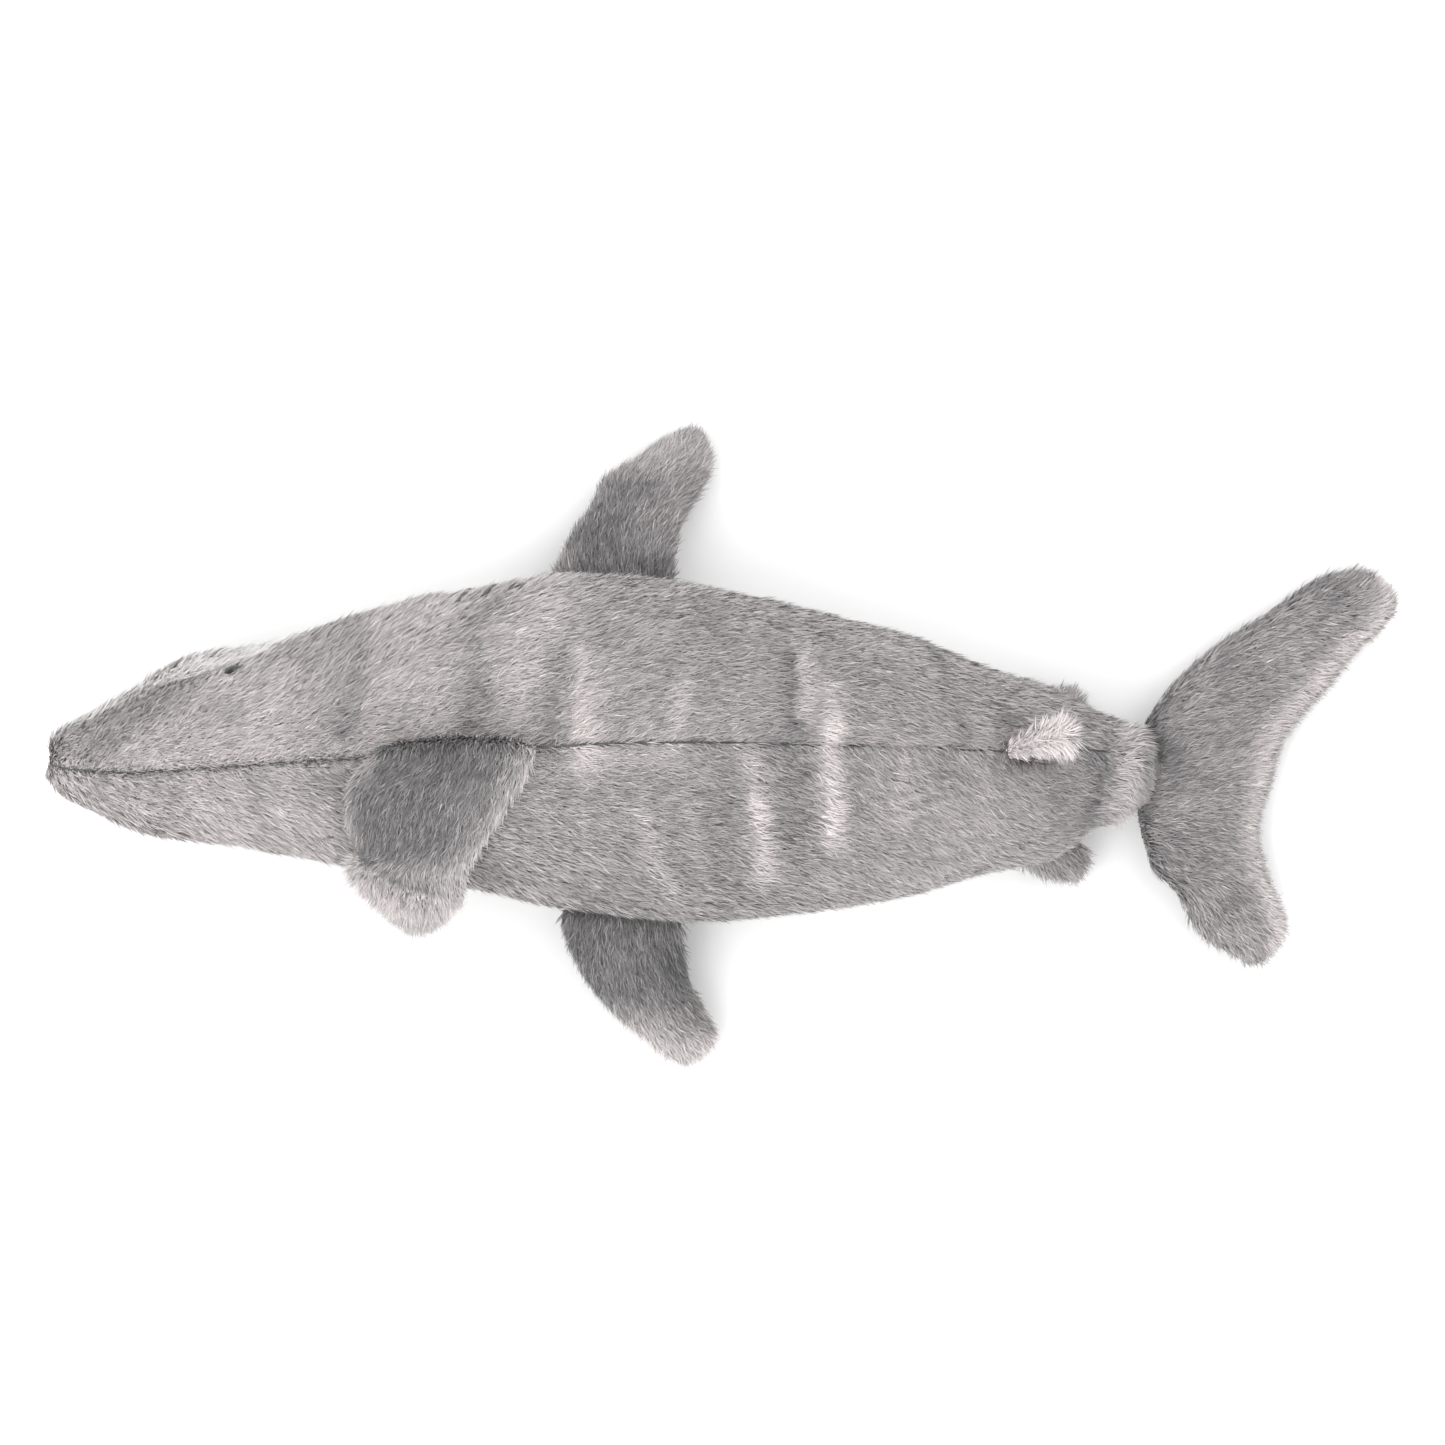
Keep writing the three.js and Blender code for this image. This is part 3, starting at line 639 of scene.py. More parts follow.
def panel_surface(panel, start, end, rows, columns, crowd=1.0):
    """Grid of points, normals and seam distances of one panel between two cuts."""
    t = np.linspace(0, 1, rows) ** crowd
    v = crowded(np.linspace(0, 1, columns), 0.55)
    x = (start + (end - start) * t)[:, None] + 0 * v[None]
    low, high = panel_edges(panel, x)
    angle = low + (high - low) * v[None]
    points = body_point(x, angle)
    y, _, z, _ = section(x)
    centre = np.stack([x, y, z], axis=-1)
    normals = normals_of(points, points - centre)
    step = np.linalg.norm(np.diff(points, axis=1), axis=-1)
    walk = np.concatenate([np.zeros((rows, 1)), np.cumsum(step, axis=1)], axis=1)
    to_low, to_high = walk, walk[:, -1:] - walk
    up = np.clip(normals[..., 2], 0, 1)
    rest = 1 - smooth_step(1.5, 5, points[..., 2])
    lift = 1.4 * noise(points, 38, 1) + 0.6 * noise(points, 13, 2)
    lift += 2.2 * nap_fold_light_and_shade(points) * up
    fold, _ = line_distance(points, FOLD)
    lift += 3.6 * bump(fold, 4.5) * up
    lift *= 1 - rest
    depth = 1.3 - 1.0 * smooth_step(-110, -50, points[..., 0])
    depth *= 1 - smooth_step(246, 258, -points[..., 0])
    seam = -depth * (bump(to_low, 1.8) + bump(to_high, 1.8)) * (1 - rest)
    flank = 1 - np.clip(normals[..., 2], 0, 1)
    if panel == "back_panel_left":
        lift += 2.0 * flank * (1 - smooth_step(-150, -120, points[..., 0]))
    if panel == "back_panel_right":
        lift -= 1.0 * flank * bump(points[..., 0] + 105, 34)
    if panel == "belly_panel":
        cheek = bump(points[..., 0] + 202, 27) * smooth_step(-10, 0, points[..., 1])
        lift += 2.2 * cheek * bump(to_high - 7, 7)
    lift = lift * (1 - bump(to_low, 3)) * (1 - bump(to_high, 3)) + seam
    points = points + normals * lift[..., None]
    normals = normals_of(points, points - centre)
    return {
        "points": points,
        "normals": normals,
        "to_low": to_low,
        "to_high": to_high,
        "angle": angle,
        "rest": rest,
    }


def pile_fields_for_panel(panel, surface):
    """How the pile of a body panel lies: comb angle, lean, length and tone."""
    points = surface["points"]
    x, y = points[..., 0], points[..., 1]
    if panel == "belly_panel":
        flat = np.zeros(x.shape)
        return {
            "comb": flat + 12 * noise(points, 30, 7),
            "lean": (18 + 6 * noise(points, 20, 9)) * (1 - 0.8 * surface["rest"]),
            "length": PILE_LENGTH * (1 - 0.6 * surface["rest"]),
            "tone": flat + 0.5 + 0.06 * noise(points, 12, 12),
        }
    away = -1 if panel == "back_panel_right" else 1
    to_dorsal = surface["to_high"] if panel == "back_panel_right" else surface["to_low"]
    to_side = surface["to_low"] if panel == "back_panel_right" else surface["to_high"]
    cheek = bump(x + 206, 30) * bump(to_side, 12) * (y > 0)
    comb = away * (7 + 24 * bump(to_dorsal, 4)) + 24 * smooth_step(-20, 90, x)
    comb = comb * (1 - cheek) + 12 * noise(points, 34, 7) + 8 * noise(points, 9, 8)
    # painted light and shade of the folds, read where the strands' tips lie
    nap_light_and_shade = nap_fold_light_and_shade(points + np.array([TIP_REACH, 0, 0]))
    lean = 17 + 5 * noise(points, 20, 9) - 10 * np.abs(nap_light_and_shade)
    length = PILE_LENGTH * (1 + 0.06 * noise(points, 15, 10) - 0.5 * cheek)
    parting = 0.4 - 0.2 * smooth_step(-90, -40, x)
    length = length * (1 - parting * bump(to_dorsal, 1.8) - 0.4 * bump(to_side, 2.4))
    nose = smooth_step(240, 257, -x)
    length = length * (1 - 0.2 * nose)

    tone = 0.52 + 0.05 * smooth_step(20, 80, x) + 0.04 * (y < -10) * smooth_step(-60, -40, x)
    # painted light: the head's left flank, turned towards the key light, is lighter
    tone = tone + 0.1 * smooth_step(-15, -25, y) * (1 - smooth_step(-150, -136, x))
    tone = tone + 0.04 * noise(points, 45, 11) + 0.04 * noise(points, 12, 12) + 0.03 * noise(points, 5, 13)
    # painted shade in the groove of the dorsal seam, deepest ahead of the fin
    tone = tone + nap_light_and_shade - (0.2 - 0.18 * smooth_step(-90, -40, x)) * bump(to_dorsal, 1.2) * (1 - nose)
    # painted shade on the right cheek, the flank turned away from the light
    distance, side = line_distance(points + np.array([TIP_REACH, 0, 0]), HEAD_SHADE)
    painted_cheek_shade = smooth_step(-4, 7, -side * distance) * smooth_step(-12, -4, y)
    painted_cheek_shade = painted_cheek_shade * (1 - smooth_step(-182, -176, x))
    # painted light: the back of the head and fore body made lighter, as lit by the key light
    painted_forebody_light = 0.16 - 0.11 * smooth_step(-172, -144, x)
    painted_forebody_light += (0.05 + 0.08 * smooth_step(10, 24, y)) * smooth_step(-136, -131, x)
    painted_forebody_light *= 1 - 0.4 * bump(x + 90, 7)
    painted_forebody_light *= 1 - smooth_step(-66, -44, x)
    tone = tone + painted_forebody_light * (1 - painted_cheek_shade) - 0.02 * painted_cheek_shade + 0.1 * nose
    tone = tone - 0.04 * smooth_step(-240, -225, -x) * (y < -9)

    fold, side = line_distance(points, FOLD)
    ridge = bump(fold, 7) * np.clip(surface["normals"][..., 2] + 0.4, 0, 1)
    # painted highlight on the up-facing side of the fold at the tail root
    tone = tone + 0.22 * ridge
    lean = lean + 26 * ridge
    comb = comb + ridge * (30 * side + 30 * noise(points, 3, 61))
    length = length * (1 + 0.35 * ridge)
    length = length * (1 - 0.9 * smooth_step(177, 183, x))
    return {"comb": comb, "lean": lean, "length": length, "tone": tone}


# ------------------------------------------------------------------------- the pile

def grow_pile(name, surface, fields, density, seed, material):
    """Tapered strands combed over a grid surface; a list of meshes of whole strands."""
    rng = np.random.default_rng(SEED * 1000 + seed)
    points, normals = surface["points"], surface["normals"]
    columns = points.shape[1]
    across = points[1:, 1:] - points[:-1, :-1]
    back = points[1:, :-1] - points[:-1, 1:]
    area = np.linalg.norm(np.cross(across, back), axis=-1).ravel() / 2
    count = int(area.sum() * density)
    cell = np.searchsorted(np.cumsum(area) / area.sum(), np.sort(rng.random(count)))
    cell = np.minimum(cell, len(area) - 1)
    s, t = rng.random(count), rng.random(count)
    i, j = np.divmod(cell, columns - 1)

    def sample(grid):
        extra = (1,) * (grid.ndim - 2)
        u, v = s.reshape(-1, *extra), t.reshape(-1, *extra)
        near = grid[i, j] * (1 - v) + grid[i, j + 1] * v
        far = grid[i + 1, j] * (1 - v) + grid[i + 1, j + 1] * v
        return near * (1 - u) + far * u

    root = sample(points)
    keep = clear_of_trim(root) & (sample(fields["length"]) > 1.5)
    s, t, i, j, root = s[keep], t[keep], i[keep], j[keep], root[keep]
    count = len(root)

    def vary(amount):
        return amount * rng.standard_normal(count)

    n = unit(sample(normals))
    along = sample(np.gradient(points, axis=0))
    along = unit(along - np.sum(along * n, axis=1, keepdims=True) * n)
    side = np.cross(n, along)
    side *= np.sign(np.sum(side * sample(np.gradient(points, axis=1)), axis=1, keepdims=True))

    comb = np.radians(sample(fields["comb"]) + vary(15) + 10 * noise(root, 3.2, 21))[:, None]
    lean = sample(fields["lean"]) + vary(7) + 5 * noise(root, 2.6, 22)
    length = (sample(fields["length"]) * (1 + vary(0.14)).clip(0.5, 1.4))[:, None]
    tone = sample(fields["tone"]) + vary(0.12) + 0.07 * noise(root, 2.0, 23)
    flat = along * np.cos(comb) + side * np.sin(comb)

    def heading(rise):
        rise = np.radians(np.clip(rise, 3, 88))[:, None]
        return flat * np.cos(rise) + n * np.sin(rise)

    first, second = heading(lean + 16), heading(lean - 8)
    middle = root + first * length * 0.42
    tip = middle + second * length * 0.58
    roll = vary(0.5)[:, None]
    wide = unit(np.cross(first, n))
    wide = wide * np.cos(roll) + np.cross(first, wide) * np.sin(roll)
    half = wide * (STRAND_WIDTH / 2 * (1 + vary(0.18)).clip(0.5, 1.6))[:, None]
    base = root - 0.4 * n
    verts = np.stack([base - half, base + half, middle - half, middle + half, tip], axis=1)
    verts[..., 2] = np.maximum(verts[..., 2], 0.25)
    glint = n * 0.85 + wide * vary(0.26)[:, None]
    if "outward" in fields:
        glint = glint + along * sample(fields["outward"])[:, None]
    shade = np.stack([unit(glint + first * 0.3)] * 2 + [unit(glint + second * 0.2)] * 3, axis=1)
    tones = tone[:, None] * np.array([0.7, 0.7, 0.97, 0.97, 1.08])
    pieces = []
    parts = max(1, math.ceil(count / PIECE_STRANDS))
    for part in range(parts):
        own = slice(count * part // parts, count * (part + 1) // parts)
        label = name if parts == 1 else f"{name}_{part + 1}"
        pieces.append(strand_mesh(label, verts[own], shade[own], tones[own], material))
    return pieces


def clear_of_trim(root):
    """Which strands stand clear of the eyes and the embroidery."""
    keep = np.ones(len(root), bool)
    for centre, radius in TRIM_SPOTS:
        near = np.abs(root - centre).max(axis=1) < radius
        near[near] = np.linalg.norm(root[near] - centre, axis=1) < radius
        keep &= ~near
    return keep


def strand_mesh(name, verts, shade, tones, material):
    """One mesh of many strands, each a quad and a pointed tip."""
    count = len(verts)
    mesh = bpy.data.meshes.new(name)
    mesh.vertices.add(count * 5)
    mesh.vertices.foreach_set("co", (verts * MM).astype(np.float32).ravel())
    loops = (np.arange(count) * 5)[:, None] + np.array([0, 1, 3, 2, 2, 3, 4])
    mesh.loops.add(loops.size)
    mesh.loops.foreach_set("vertex_index", loops.astype(np.int32).ravel())
    mesh.polygons.add(count * 2)
    starts = (np.arange(count) * 7)[:, None] + np.array([0, 4])
    mesh.polygons.foreach_set("loop_start", starts.astype(np.int32).ravel())
    mesh.update(calc_edges=True)
    attribute = mesh.attributes.new("tone", "FLOAT", "POINT")
    attribute.data.foreach_set("value", tones.astype(np.float32).ravel())
    mesh.polygons.foreach_set("use_smooth", np.ones(count * 2, bool))
    mesh.normals_split_custom_set_from_vertices(shade.reshape(-1, 3).astype(np.float32))
    side = math.ceil(math.sqrt(count))
    cell = np.stack(np.divmod(np.arange(count), side), axis=1)[:, None]
    spot = np.array([(0.2, 0.1), (0.8, 0.1), (0.2, 0.5), (0.8, 0.5), (0.5, 0.9)])
    add_bake_uv(mesh, ((cell + spot) / side).reshape(-1, 2))
    mesh.materials.append(material)
    thing = bpy.data.objects.new(name, mesh)
    bpy.context.scene.collection.objects.link(thing)
    return thing


# -------------------------------------------------------------------------- the fins

def placed(points, spec):
    turn = Euler([math.radians(a) for a in spec["turn"]], "XYZ").to_matrix()
    return points @ np.array(turn).T + np.array(spec["at"], float)


def fin_grids(spec, rows=38, columns=25, root_rows=6):
    """Upper and lower sheet of a fin, sewn together all round; the first rows curl
    round the root line."""
    reach = spec["leading"][-1][1]
    u = np.concatenate([np.zeros(root_rows), np.linspace(0, 1, rows)])
    curl = np.minimum(np.arange(len(u)) / root_rows, 1)[:, None] * np.pi / 2
    v = crowded(np.linspace(0, 1, columns), 0.6)
    shrink = 1 - FIN_EDGE / reach
    front, back = spline(spec["leading"], u), spline(spec["trailing"], u)
    chord = back - front
    edge = np.minimum(FIN_EDGE / np.linalg.norm(chord, axis=1, keepdims=True), 0.3)
    front, back = front + chord * edge, back - chord * edge
    spot = front[:, None] + (back - front)[:, None] * v[None, :, None]
    spot[..., 1] *= shrink
    taper = np.sqrt(np.clip(1 - u ** 2, 0, 1))
    body = spec["root"] + (spec["swell"] - spec["root"]) * np.sin(np.pi * u ** 0.7)
    half = (FIN_SEAM * (taper > 0) + body * taper)[:, None] * np.sqrt(np.sin(np.pi * v))[None]
    half[:, [0, -1]] = 0
    drop = spec["bend"] * np.clip(spot[..., 1] / reach, 0, None) ** spec["bend_power"]
    out = spec["side"] * (spot[..., 1] - half * np.cos(curl))
    sheets = []
    for layer in (1, -1):
        grid = np.stack([spot[..., 0], out, layer * half * np.sin(curl) - drop], axis=-1)
        sheets.append(placed(grid, spec))
    return sheets


def tail_grids(rows=56, columns=21):
    """The tail fin's two sheets, from the short lobe's tip to the long lobe's tip."""
    u = np.linspace(0, 1, rows)
    v = crowded(np.linspace(0, 1, columns), 0.6)
    front, back = spline(TAIL_LEADING, u), spline(TAIL_TRAILING, u)
    chord = back - front
    share = 1 / np.linalg.norm(chord, axis=1, keepdims=True)
    front = front + chord * TAIL_EDGE["leading"] * share
    back = back - chord * TAIL_EDGE["trailing"] * share
    spot = front[:, None] + (back - front)[:, None] * v[None, :, None]
    spot[..., 1] *= 1 - FIN_EDGE / TAIL_REACH
    swell = np.sqrt(np.outer(np.sin(np.pi * u), np.sin(np.pi * v)).clip(0))
    half = (FIN_SEAM + TAIL_SWELL) * swell
    half[[0, -1]] = 0
    half[:, [0, -1]] = 0
    reach = np.clip(spot[..., 0] / TAIL_DROP_LENGTH, 0, 1)
    drop = TAIL_DROP * reach * reach * (3 - 2 * reach)
    grids = []
    for layer in (1, -1):
        grid = np.stack([spot[..., 0], spot[..., 1], layer * half - drop], axis=-1)
        grids.append(grid + np.array(TAIL_PIVOT, float))
    return grids


def fin_surface(grid, outward):
    normals = normals_of(grid, outward)
    return {"points": grid, "normals": normals}


def rim_surface(top, bottom):
    """A narrow band that follows a fin's sewn edge, facing outward from the fin."""
    middle, thick = (top + bottom) / 2, unit((top - bottom)[6:-1, 2:-2].mean(axis=(0, 1)))
    path = np.concatenate([middle[:, 0], middle[-1, 1:-1], middle[::-1, -1]])
    step = np.linalg.norm(np.diff(path, axis=0), axis=1)
    walk = np.concatenate([[0], np.cumsum(step)])
    even = np.linspace(0, walk[-1], 60)
    path = np.stack([np.interp(even, walk, path[:, k]) for k in range(3)], axis=-1)
    out = unit(np.cross(np.gradient(path, axis=0), thick))
    centre = middle.mean(axis=(0, 1))
    out *= np.sign(np.sum(out * (path - centre)))
    share = np.linspace(-1, 1, 5)
    spread = thick * (share * 1.6)[None, :, None]
    points = path[:, None] + spread - out[:, None] * (share ** 2)[None, :, None]
    normals = unit(out[:, None] + thick * share[None, :, None] * 0.7)
    return {"points": points, "normals": normals}, share


def make_rim_tuft(top, bottom, looks, seed):
    """Long pale pile that parts along the second dorsal fin's edge, like a feather."""
    surface, share = rim_surface(top, bottom)
    points = surface["points"]
    flat = np.zeros(points.shape[:-1])
    height = (points[..., 2] - points[..., 2].min()) / np.ptp(points[..., 2])
    fields = {
        "comb": 70 * np.clip(share * 3, -1, 1)[None] * height,
        "lean": 14 + flat,
        "length": 2.4 + 7.6 * height,
        "tone": 0.92 + 0.08 * noise(points, 3, 51),
    }
    return grow_pile("second_dorsal_fin_rim_pile", surface, fields, 9, seed, looks["grey_pile"])


def grid_shares(points):
    rows, columns = points.shape[:2]
    return np.meshgrid(np.linspace(0, 1, rows), np.linspace(0, 1, columns), indexing="ij")


# Tone of each fin's two panels at the root, then at the tip.
FIN_TONES = {
    "dorsal_fin": ((0.24, 0.31), (0.55, 0.66)),
    "second_dorsal_fin": ((0.7, 0.9), (0.7, 0.9)),
    "pectoral_fin_right": ((0.33, 0.6), (0.45, 0.5)),
    "pectoral_fin_left": ((0.25, 0.8), (0.45, 0.5)),
    "pelvic_fin_right": ((0.45, 0.5), (0.45, 0.5)),
    "pelvic_fin_left": ((0.45, 0.58), (0.45, 0.5)),
}


def fin_pile_fields(name, layer, surface):
    """Pile of a fin runs out from the root and fans at the sewn edge."""
    points = surface["points"]
    u, v = grid_shares(points)
    root_tone, tip_tone = FIN_TONES[name][layer]
    edge = (bump(v, 0.1) + bump(1 - v, 0.1) + bump(1 - u, 0.08)).clip(0, 1)
    comb = (2 * v - 1) * (10 + 36 * u ** 2) + 11 * noise(points, 22, 31) + 8 * noise(points, 8, 32)
    lean = 17 + 5 * noise(points, 15, 33)
    tone = root_tone + (tip_tone - root_tone) * smooth_step(0.35, 0.85, u) + 0.14 * edge
    # painted light and shade of the folds, as on the body
    tone = tone + 0.05 * noise(points, 26, 34) + 0.05 * noise(points, 9, 35) + nap_fold_light_and_shade(points)
    length = PILE_LENGTH * (1 + 0.06 * noise(points, 12, 36)) * (1 - 0.5 * layer * edge)
    outward = 1.2 * smooth_step(0.75, 1, u)
    if name.startswith("pelvic"):
        lean = lean + 18 * edge
        length = length * 1.15
        comb = comb * 1.5
    if name == "second_dorsal_fin":
        lean = lean + 8
        outward = 0 * u
    if name == "dorsal_fin":
        tone = tone - nap_fold_light_and_shade(points)
    if name == "dorsal_fin" and layer == 0:
        tips = points - np.array([0, TIP_REACH, 0])
        distance, side = line_distance(tips, FIN_CREASE)
        beyond = smooth_step(-1, 2, -side * distance) * smooth_step(38, 46, -tips[..., 1])
        # painted highlight along the dorsal fin's puffy rim and front corner
        rim = bump(1 - v, 0.2) + 0.9 * bump(v, 0.13) + 0.8 * smooth_step(42, 52, -tips[..., 1])
        tone = tone + 0.42 * beyond + 0.28 * rim.clip(0, 1) * (1 - beyond)
        # painted shadow along the crease, where the folded tip overhangs
        tone = tone - 0.4 * bump(distance, 2.2) * (side > 0)
        comb = comb * (1 + 0.6 * beyond)
        lean = lean + 16 * beyond
        gap, side = line_distance(points, FIN_CREASE)
        inner = 1 - smooth_step(0, 6, gap) * (side > 0)
        length = length * (1 - 0.6 * np.where(side > 0, inner, 0)) * (gap > 1.1)
    return {"comb": comb, "lean": lean, "length": length, "tone": tone, "outward": outward}


# ------------------------------------------------------------------------- the pieces

def finish_piece(replaced):
    if replaced:
        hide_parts(*replaced)


LENGTHS = {
    "front": {
        "cut": (CUTS[0], CUTS[1]),
        "rows": 110,
        "crowd": 1.5,
        "bodies": ("head", "trunk"),
        "bend": NECK_BEND,
        "stands_for": ("head", "trunk"),
    },
    "rear": {
        "cut": (CUTS[1], CUTS[2]),
        "rows": 78,
        "crowd": 1,
        "bodies": ("trunk", "tail_stalk"),
        "bend": WAIST_BEND,
        "stands_for": ("trunk", "tail_stalk"),
    },
    "peduncle": {
        "cut": (CUTS[2], CUTS[3]),
        "rows": 34,
        "crowd": 1,
        "bodies": ("tail_stalk", "tail_collar"),
        "bend": STALK_TWIST,
        "stands_for": ("tail_stalk",),
    },
    "tail_root": {
        "cut": (CUTS[3], CUTS[4]),
        "rows": 14,
        "crowd": 1,
        "bodies": ("tail_collar", "tail_fin"),
        "bend": TAIL_BEND,
        "stands_for": (),
    },
}
PANEL_COLUMNS = {"back_panel_right": 34, "back_panel_left": 34, "belly_panel": 46}


def blend_length(thing):
    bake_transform(thing)


def make_body(looks):
    seed = 0
    for name, length in LENGTHS.items():
        start, end = length["cut"]
        for panel, columns in PANEL_COLUMNS.items():
            seed += 1
            white = panel == "belly_panel"
            surface = panel_surface(panel, start, end, length["rows"], columns, length["crowd"])
            inner = surface["points"] - surface["normals"] * PLUSH
            skin = slab_mesh(f"{name}_{panel}", surface["points"], inner)
            skin.data.materials.append(looks["white_backing" if white else "grey_backing"])
            replaced = [f"{body}_{panel}" for body in length["stands_for"]]
            if name == "tail_root":
                replaced = ["tail_collar_skin"]
            finish_piece(replaced)
            blend_length(skin)
            fields = pile_fields_for_panel(panel, surface)
            density = BELLY_DENSITY if white else BACK_DENSITY
            if white and name == "front":
                density = CHEEK_DENSITY
            look = looks["white_pile" if white else "grey_pile"]
            for pile in grow_pile(f"{name}_{panel}_pile", surface, fields, density, seed, look):
                finish_piece([])
                blend_length(pile)
        make_filling(name, length, looks)


def make_filling(name, length, looks):
    """Lumpy fibre core of one length, closed at both ends."""
    start, end = length["cut"]
    inset = INSET + FILL_INSET
    if name == "front":
        start += 6
    around = 72
    rows = length["rows"] // 2
    x = np.linspace(start, end, rows)[:, None] + np.zeros((1, around))
    angle = np.linspace(0, 360, around, endpoint=False)[None] + np.zeros((rows, 1))
    points = body_point(x, angle, inset)
    y, _, z, _ = section(x)
    centre = np.stack([x, y, z], axis=-1)
    outward = unit(points - centre)
    points = points - outward * (0.5 + 0.5 * noise(points, 9, 41))[..., None]
    points[..., 2] = np.maximum(points[..., 2], FLOOR_LIFT + PLUSH + 0.6)
    order = np.arange(rows * around).reshape(rows, around)
    around_next = np.roll(order, -1, axis=1)
    quads = np.stack([order[:-1], order[1:], around_next[1:], around_next[:-1]], axis=-1).reshape(-1, 4)
    faces = quads.tolist()
    faces.append(order[0].tolist())
    faces.append(order[-1][::-1].tolist())
    core = mesh_object(f"{name}_filling", points.reshape(-1, 3), faces)
    core.data.shade_smooth()
    core.data.materials.append(looks["filling"])
    replaced = {
        "front": ["head_filling", "trunk_filling"],
        "rear": ["trunk_filling", "tail_stalk_filling"],
        "peduncle": ["tail_stalk_filling"],
        "tail_root": ["tail_collar_filling"],
    }[name]
    finish_piece(replaced)
    blend_length(core)


def blend_fin(thing):
    """Bakes the fin piece's placement into its mesh."""
    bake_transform(thing)


def turn_tip_under(grid):
    """Drops the part of the dorsal fin beyond its crease."""
    gap, side = line_distance(grid, FIN_CREASE)
    beyond = smooth_step(-0.8, 1.8, -side * gap) * smooth_step(38, 46, -grid[..., 1])
    sunk = grid.copy()
    sunk[..., 2] -= TIP_STEP * beyond
    return sunk


def make_panels(name, panels, sheets, looks, seed, build, fields_of, attach):
    """Both panels of a fin with their pile. build holds each skin's share of the fin's
    thickness and how full the padding is; the padding's fullness is not used."""
    share, fill = build
    top, bottom = sheets
    for layer, (panel, grid, other) in enumerate(zip(panels, (top, bottom), (bottom, top))):
        surface = fin_surface(grid, (grid - other).mean(axis=(0, 1)))
        skin = slab_mesh(f"{name}_{panel}", grid, grid + (other - grid) * share)
        skin.data.materials.append(looks["grey_backing"])
        finish_piece([f"{name}_{panel}"])
        attach(skin)
        piles = grow_pile(
            f"{name}_{panel}_pile", surface, fields_of(layer, surface), BACK_DENSITY,
            seed + layer, looks["grey_pile"],
        )
        attach_piles(piles, attach)


def attach_piles(piles, attach):
    for pile in piles:
        finish_piece([])
        attach(pile)


def make_fins(looks):
    seed = FIRST_FIN_SEED
    for name, spec in FINS.items():
        top, bottom = fin_grids(spec)
        if name == "dorsal_fin":
            top, bottom = turn_tip_under(top), turn_tip_under(bottom)

        def attach(thing):
            blend_fin(thing)

        def fields_of(layer, surface):
            return fin_pile_fields(name, layer, surface)

        make_panels(name, spec["panels"], (top, bottom), looks, seed, FIN_BUILD, fields_of, attach)
        if name == "second_dorsal_fin":
            attach_piles(make_rim_tuft(top, bottom, looks, TUFT_SEED), attach)
        make_fin_filling(name, top, bottom, looks, attach)
        seed += 2
    top, bottom = tail_grids()
    panels = ("left_panel", "right_panel")
    make_panels("tail_fin", panels, (top, bottom), looks, seed, TAIL_BUILD, tail_pile_fields, blend_tail)
    make_fin_filling("tail_fin", top, bottom, looks, blend_tail)


def make_fin_filling(name, top, bottom, looks, attach):
    middle = (top + bottom) / 2
    cut = (slice(3, -3), slice(2, -2))
    upper = (middle + (top - middle) * 0.55)[cut]
    lower = (middle + (bottom - middle) * 0.55)[cut]
    core = slab_mesh(f"{name}_filling", upper, lower)
    core.data.materials.append(looks["filling"])
    finish_piece([f"{name}_filling"])
    attach(core)


def blend_tail(thing):
    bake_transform(thing)


def tail_pile_fields(layer, surface):
    """On the tail the pile runs from the root out along both lobes and backwards."""
    points = surface["points"]
    u, v = grid_shares(points)
    lobe = np.clip((u - 0.42) / 0.26, -1, 1)
    comb = 90 - lobe * (82 - 44 * v) + 9 * noise(points, 24, 31) + 8 * noise(points, 8, 32)
    comb += (2 * v - 1) * 40 * (smooth_step(0.86, 1, u) - (1 - smooth_step(0, 0.14, u)))
    lean = 17 + 5 * noise(points, 15, 33)
    # painted shade where the tail fin meets the stalk
    root = bump(np.hypot(points[..., 0] - 184, 1.2 * (points[..., 1] + 6)), 12)
    tone = 0.48 - 0.05 * bump(v, 0.3) + 0.38 * bump(v - 0.82, 0.11) - 0.12 * root
    # painted light and shade of the folds, as on the body
    tone = tone + nap_fold_light_and_shade(points) + 0.07 * smooth_step(50, 78, -points[..., 1])
    tone = tone + 0.03 * noise(points, 26, 34) + 0.05 * noise(points, 9, 35)
    edge = (bump(v, 0.1) + bump(1 - v, 0.1) + bump(u, 0.05) + bump(1 - u, 0.05)).clip(0, 1)
    length = PILE_LENGTH * (1 + 0.06 * noise(points, 12, 36)) * (1 - 0.5 * layer * edge)
    return {"comb": comb, "lean": lean, "length": length, "tone": tone}


# --------------------------------------------------------------- eyes and embroidery

def lathe(name, profile, place, axis, material):
    """Surface of revolution about the local +Z through place, turned to axis."""
    around = 48
    rings = np.array(profile, float)
    turn = np.linspace(0, 2 * np.pi, around, endpoint=False)
    circle = np.stack([np.cos(turn), np.sin(turn)], axis=-1)
    points = np.concatenate([
        rings[:, None, :1] * circle[None],
        np.broadcast_to(rings[:, None, 1:], (len(rings), around, 1)),
    ], axis=-1)
    matrix = Vector((0, 0, 1)).rotation_difference(Vector(axis)).to_matrix()
    points = points.reshape(-1, 3) @ np.array(matrix).T + place
    order = np.arange(len(rings) * around).reshape(len(rings), around)
    ahead = np.roll(order, -1, axis=1)
    quads = np.stack([order[:-1], ahead[:-1], ahead[1:], order[1:]], axis=-1).reshape(-1, 4).tolist()
    thing = mesh_object(name, points, quads)
    weld(thing)
    thing.data.shade_smooth()
    thing.data.materials.append(material)
    return thing


def weld(thing):
    mesh = bmesh.new()
    mesh.from_mesh(thing.data)
    bmesh.ops.remove_doubles(mesh, verts=mesh.verts, dist=1e-6)
    bmesh.ops.recalc_face_normals(mesh, faces=mesh.faces)
    mesh.to_mesh(thing.data)
    mesh.free()


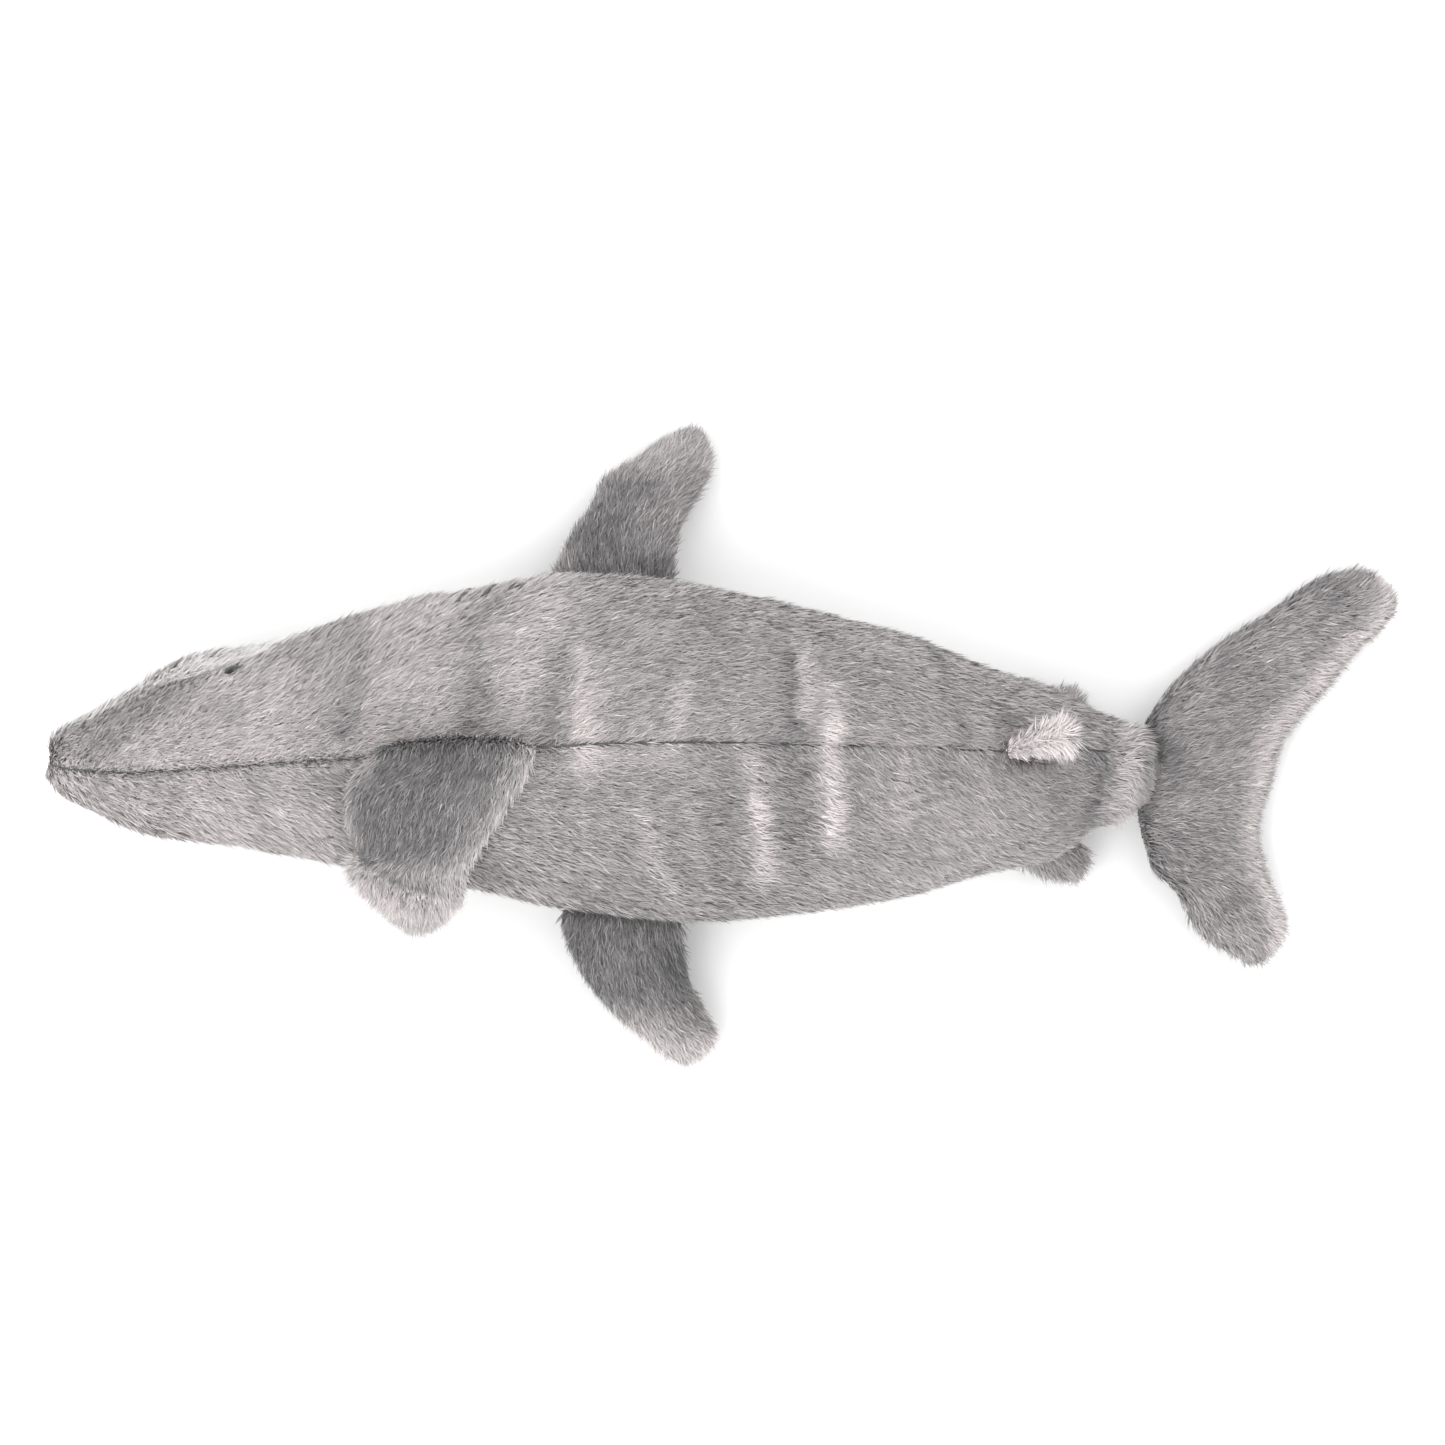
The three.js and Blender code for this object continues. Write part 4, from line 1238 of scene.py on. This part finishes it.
def make_eyes(looks):
    for side in ("right", "left"):
        x = np.array(float(EYE["x"]))
        angle = np.array(float(EYE[side]))
        place = body_point(x, angle)
        step = 1.0
        around = body_point(x, angle + step) - body_point(x, angle - step)
        along = body_point(x + step, angle) - body_point(x - step, angle)
        axis = unit(np.cross(around, along))
        stem, deep = EYE["stem"], -EYE["stem_length"]
        place = place - EYE_SINK * axis
        profile = [(0, deep), (stem * 0.8, deep), (stem, deep + 0.6), (stem, -0.2), (stem + 0.3, 0.2)]
        profile += [(EYE["radius"] * 0.94, 0.2), (EYE["radius"], 0.55)]
        for k in range(1, 13):
            turn = math.pi / 2 * k / 12
            profile.append((EYE["radius"] * math.cos(turn), 0.55 + EYE["dome"] * math.sin(turn)))
        eye = lathe(f"eye_{side}_dome", profile, place, axis, looks["eye"])
        finish_piece([f"eye_{side}"])
        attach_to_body(eye, "head")
        high, bore, rim = -WASHER["depth"], WASHER["bore"], WASHER["radius"]
        low = high - WASHER["thick"]
        ring = [(bore, low), (rim - 0.4, low), (rim, low + 0.4), (rim, high - 0.4), (rim - 0.4, high)]
        ring += [(bore + 0.8, high), (bore, high - 0.3), (bore, low)]
        washer = lathe(f"eye_{side}_washer", ring, place, axis, looks["washer"])
        finish_piece([f"eye_washer_{side}"])
        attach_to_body(washer, "head")


def satin_bar(name, xs, angles, looks):
    """A row of thread loops laid side by side across a line on the skin."""
    points = body_point(xs, angles, INSET - STITCH["lift"])
    step = np.gradient(points, axis=0)
    length = np.linalg.norm(np.diff(points, axis=0), axis=1).sum()
    loops = int(length / 0.42)
    t = np.linspace(0, len(xs) - 1, loops)
    k = np.minimum(t.astype(int), len(xs) - 2)
    w = (t - k)[:, None]
    centre = points[k] * (1 - w) + points[k + 1] * w
    y, _, z, _ = section(centre[:, 0])
    up = unit(centre - np.stack([centre[:, 0], y, z], axis=-1))
    way = unit(step[k])
    across = unit(np.cross(way, up))
    arc = np.linspace(0, np.pi, 7)
    radius = 0.24
    verts, faces = [], []
    for n in range(loops):
        lean = way[n] * 0.25 * (1 if n % 2 else -1)
        for c, s in zip(np.cos(arc), np.sin(arc)):
            spine = centre[n] + across[n] * (STITCH["width"] / 2 * c)
            spine = spine + up[n] * (STITCH["thick"] * s - 0.3) + lean * c
            for q in range(6):
                a = q * math.pi / 3
                verts.append(spine + radius * (math.cos(a) * way[n] + math.sin(a) * up[n]))
        base = n * 42
        for ring in range(6):
            for q in range(6):
                a, b = base + ring * 6 + q, base + ring * 6 + (q + 1) % 6
                faces.append((a, b, b + 6, a + 6))
        faces.append(tuple(base + q for q in range(5, -1, -1)))
        faces.append(tuple(base + 36 + q for q in range(6)))
    bar = mesh_object(name, np.array(verts), faces)
    bar.data.shade_smooth()
    bar.data.materials.append(looks["thread"])
    return bar


def make_embroidery(looks):
    for side in ("right", "left"):
        for order, name in enumerate(("front", "middle", "rear")):
            bar = satin_bar(f"gill_{side}_{name}_thread", *gill_line(side, order), looks)
            finish_piece([f"gill_stitch_{side}_{name}"])
            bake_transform(bar)
    mouth = satin_bar("mouth_thread", *mouth_line(), looks)
    finish_piece(["mouth_stitch"])
    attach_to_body(mouth, "head")


def make_looks():
    return {
        "grey_pile": pile_material("grey_pile", [
            (0.0, (0.07, 0.069, 0.07)),
            (0.3, (0.195, 0.19, 0.192)),
            (0.5, (0.36, 0.341, 0.341)),
            (0.7, (0.52, 0.48, 0.476)),
            (1.0, (0.8, 0.75, 0.74)),
        ]),
        "white_pile": pile_material("white_pile", [
            (0.0, (0.5, 0.49, 0.485)),
            (0.5, (0.72, 0.7, 0.69)),
            (1.0, (0.88, 0.86, 0.85)),
        ]),
        "grey_backing": backing_material("grey_backing", (0.13, 0.124, 0.123), (0.22, 0.21, 0.208)),
        "white_backing": backing_material("white_backing", (0.45, 0.44, 0.42), (0.66, 0.64, 0.62)),
        "filling": filling_material(),
        "eye": plastic_material("eye_black", (0.004, 0.004, 0.005), (0.008, 0.008, 0.009), 0.14, 0.1),
        "washer": plastic_material("washer_plastic", (0.66, 0.66, 0.64), (0.8, 0.8, 0.78), 0.5, 0.0),
        "thread": thread_material("dark_thread", (0.006, 0.006, 0.007), (0.03, 0.03, 0.032)),
    }


def gill_line(side, order):
    t = np.linspace(0, 1, 24)
    height = GILL["low"] + (GILL["high"] - GILL["low"]) * t
    xs = GILL["front"] + order * GILL["pitch"] + GILL["lean"] * np.sin(np.pi * t)
    roll = roll_curve(xs)[:, 0]
    return xs, (height + roll if side == "right" else 180 - height + roll)


def mouth_line():
    swing = np.linspace(-1, 1, 36)
    xs = MOUTH["x"] + MOUTH["sweep"] * swing ** 2
    return xs, 270 + MOUTH["half"] * swing + roll_curve(xs)[:, 0]


def trim_spots():
    """Places the pile is trimmed away round: each eye, and every line of stitches."""
    spots = []
    for side in ("right", "left"):
        spots.append((body_point(np.array(float(EYE["x"])), np.array(float(EYE[side]))), EYE_TRIM[side]))
        for order in range(3):
            line = body_point(*gill_line(side, order))
            if GILL_TOPS[side] == order:
                spots += [(place, STITCH["width"]) for place in line[-2:]]
            else:
                line = line[:-6]
            spots += [(place, STITCH["width"] / 2 + 0.3) for place in line]
    spots += [(place, STITCH["width"] / 2 + 0.3) for place in body_point(*mouth_line())]
    return spots


TRIM_SPOTS = trim_spots()
camera_and_lights()
looks = make_looks()
make_fins(looks)
make_body(looks)
make_eyes(looks)
make_embroidery(looks)
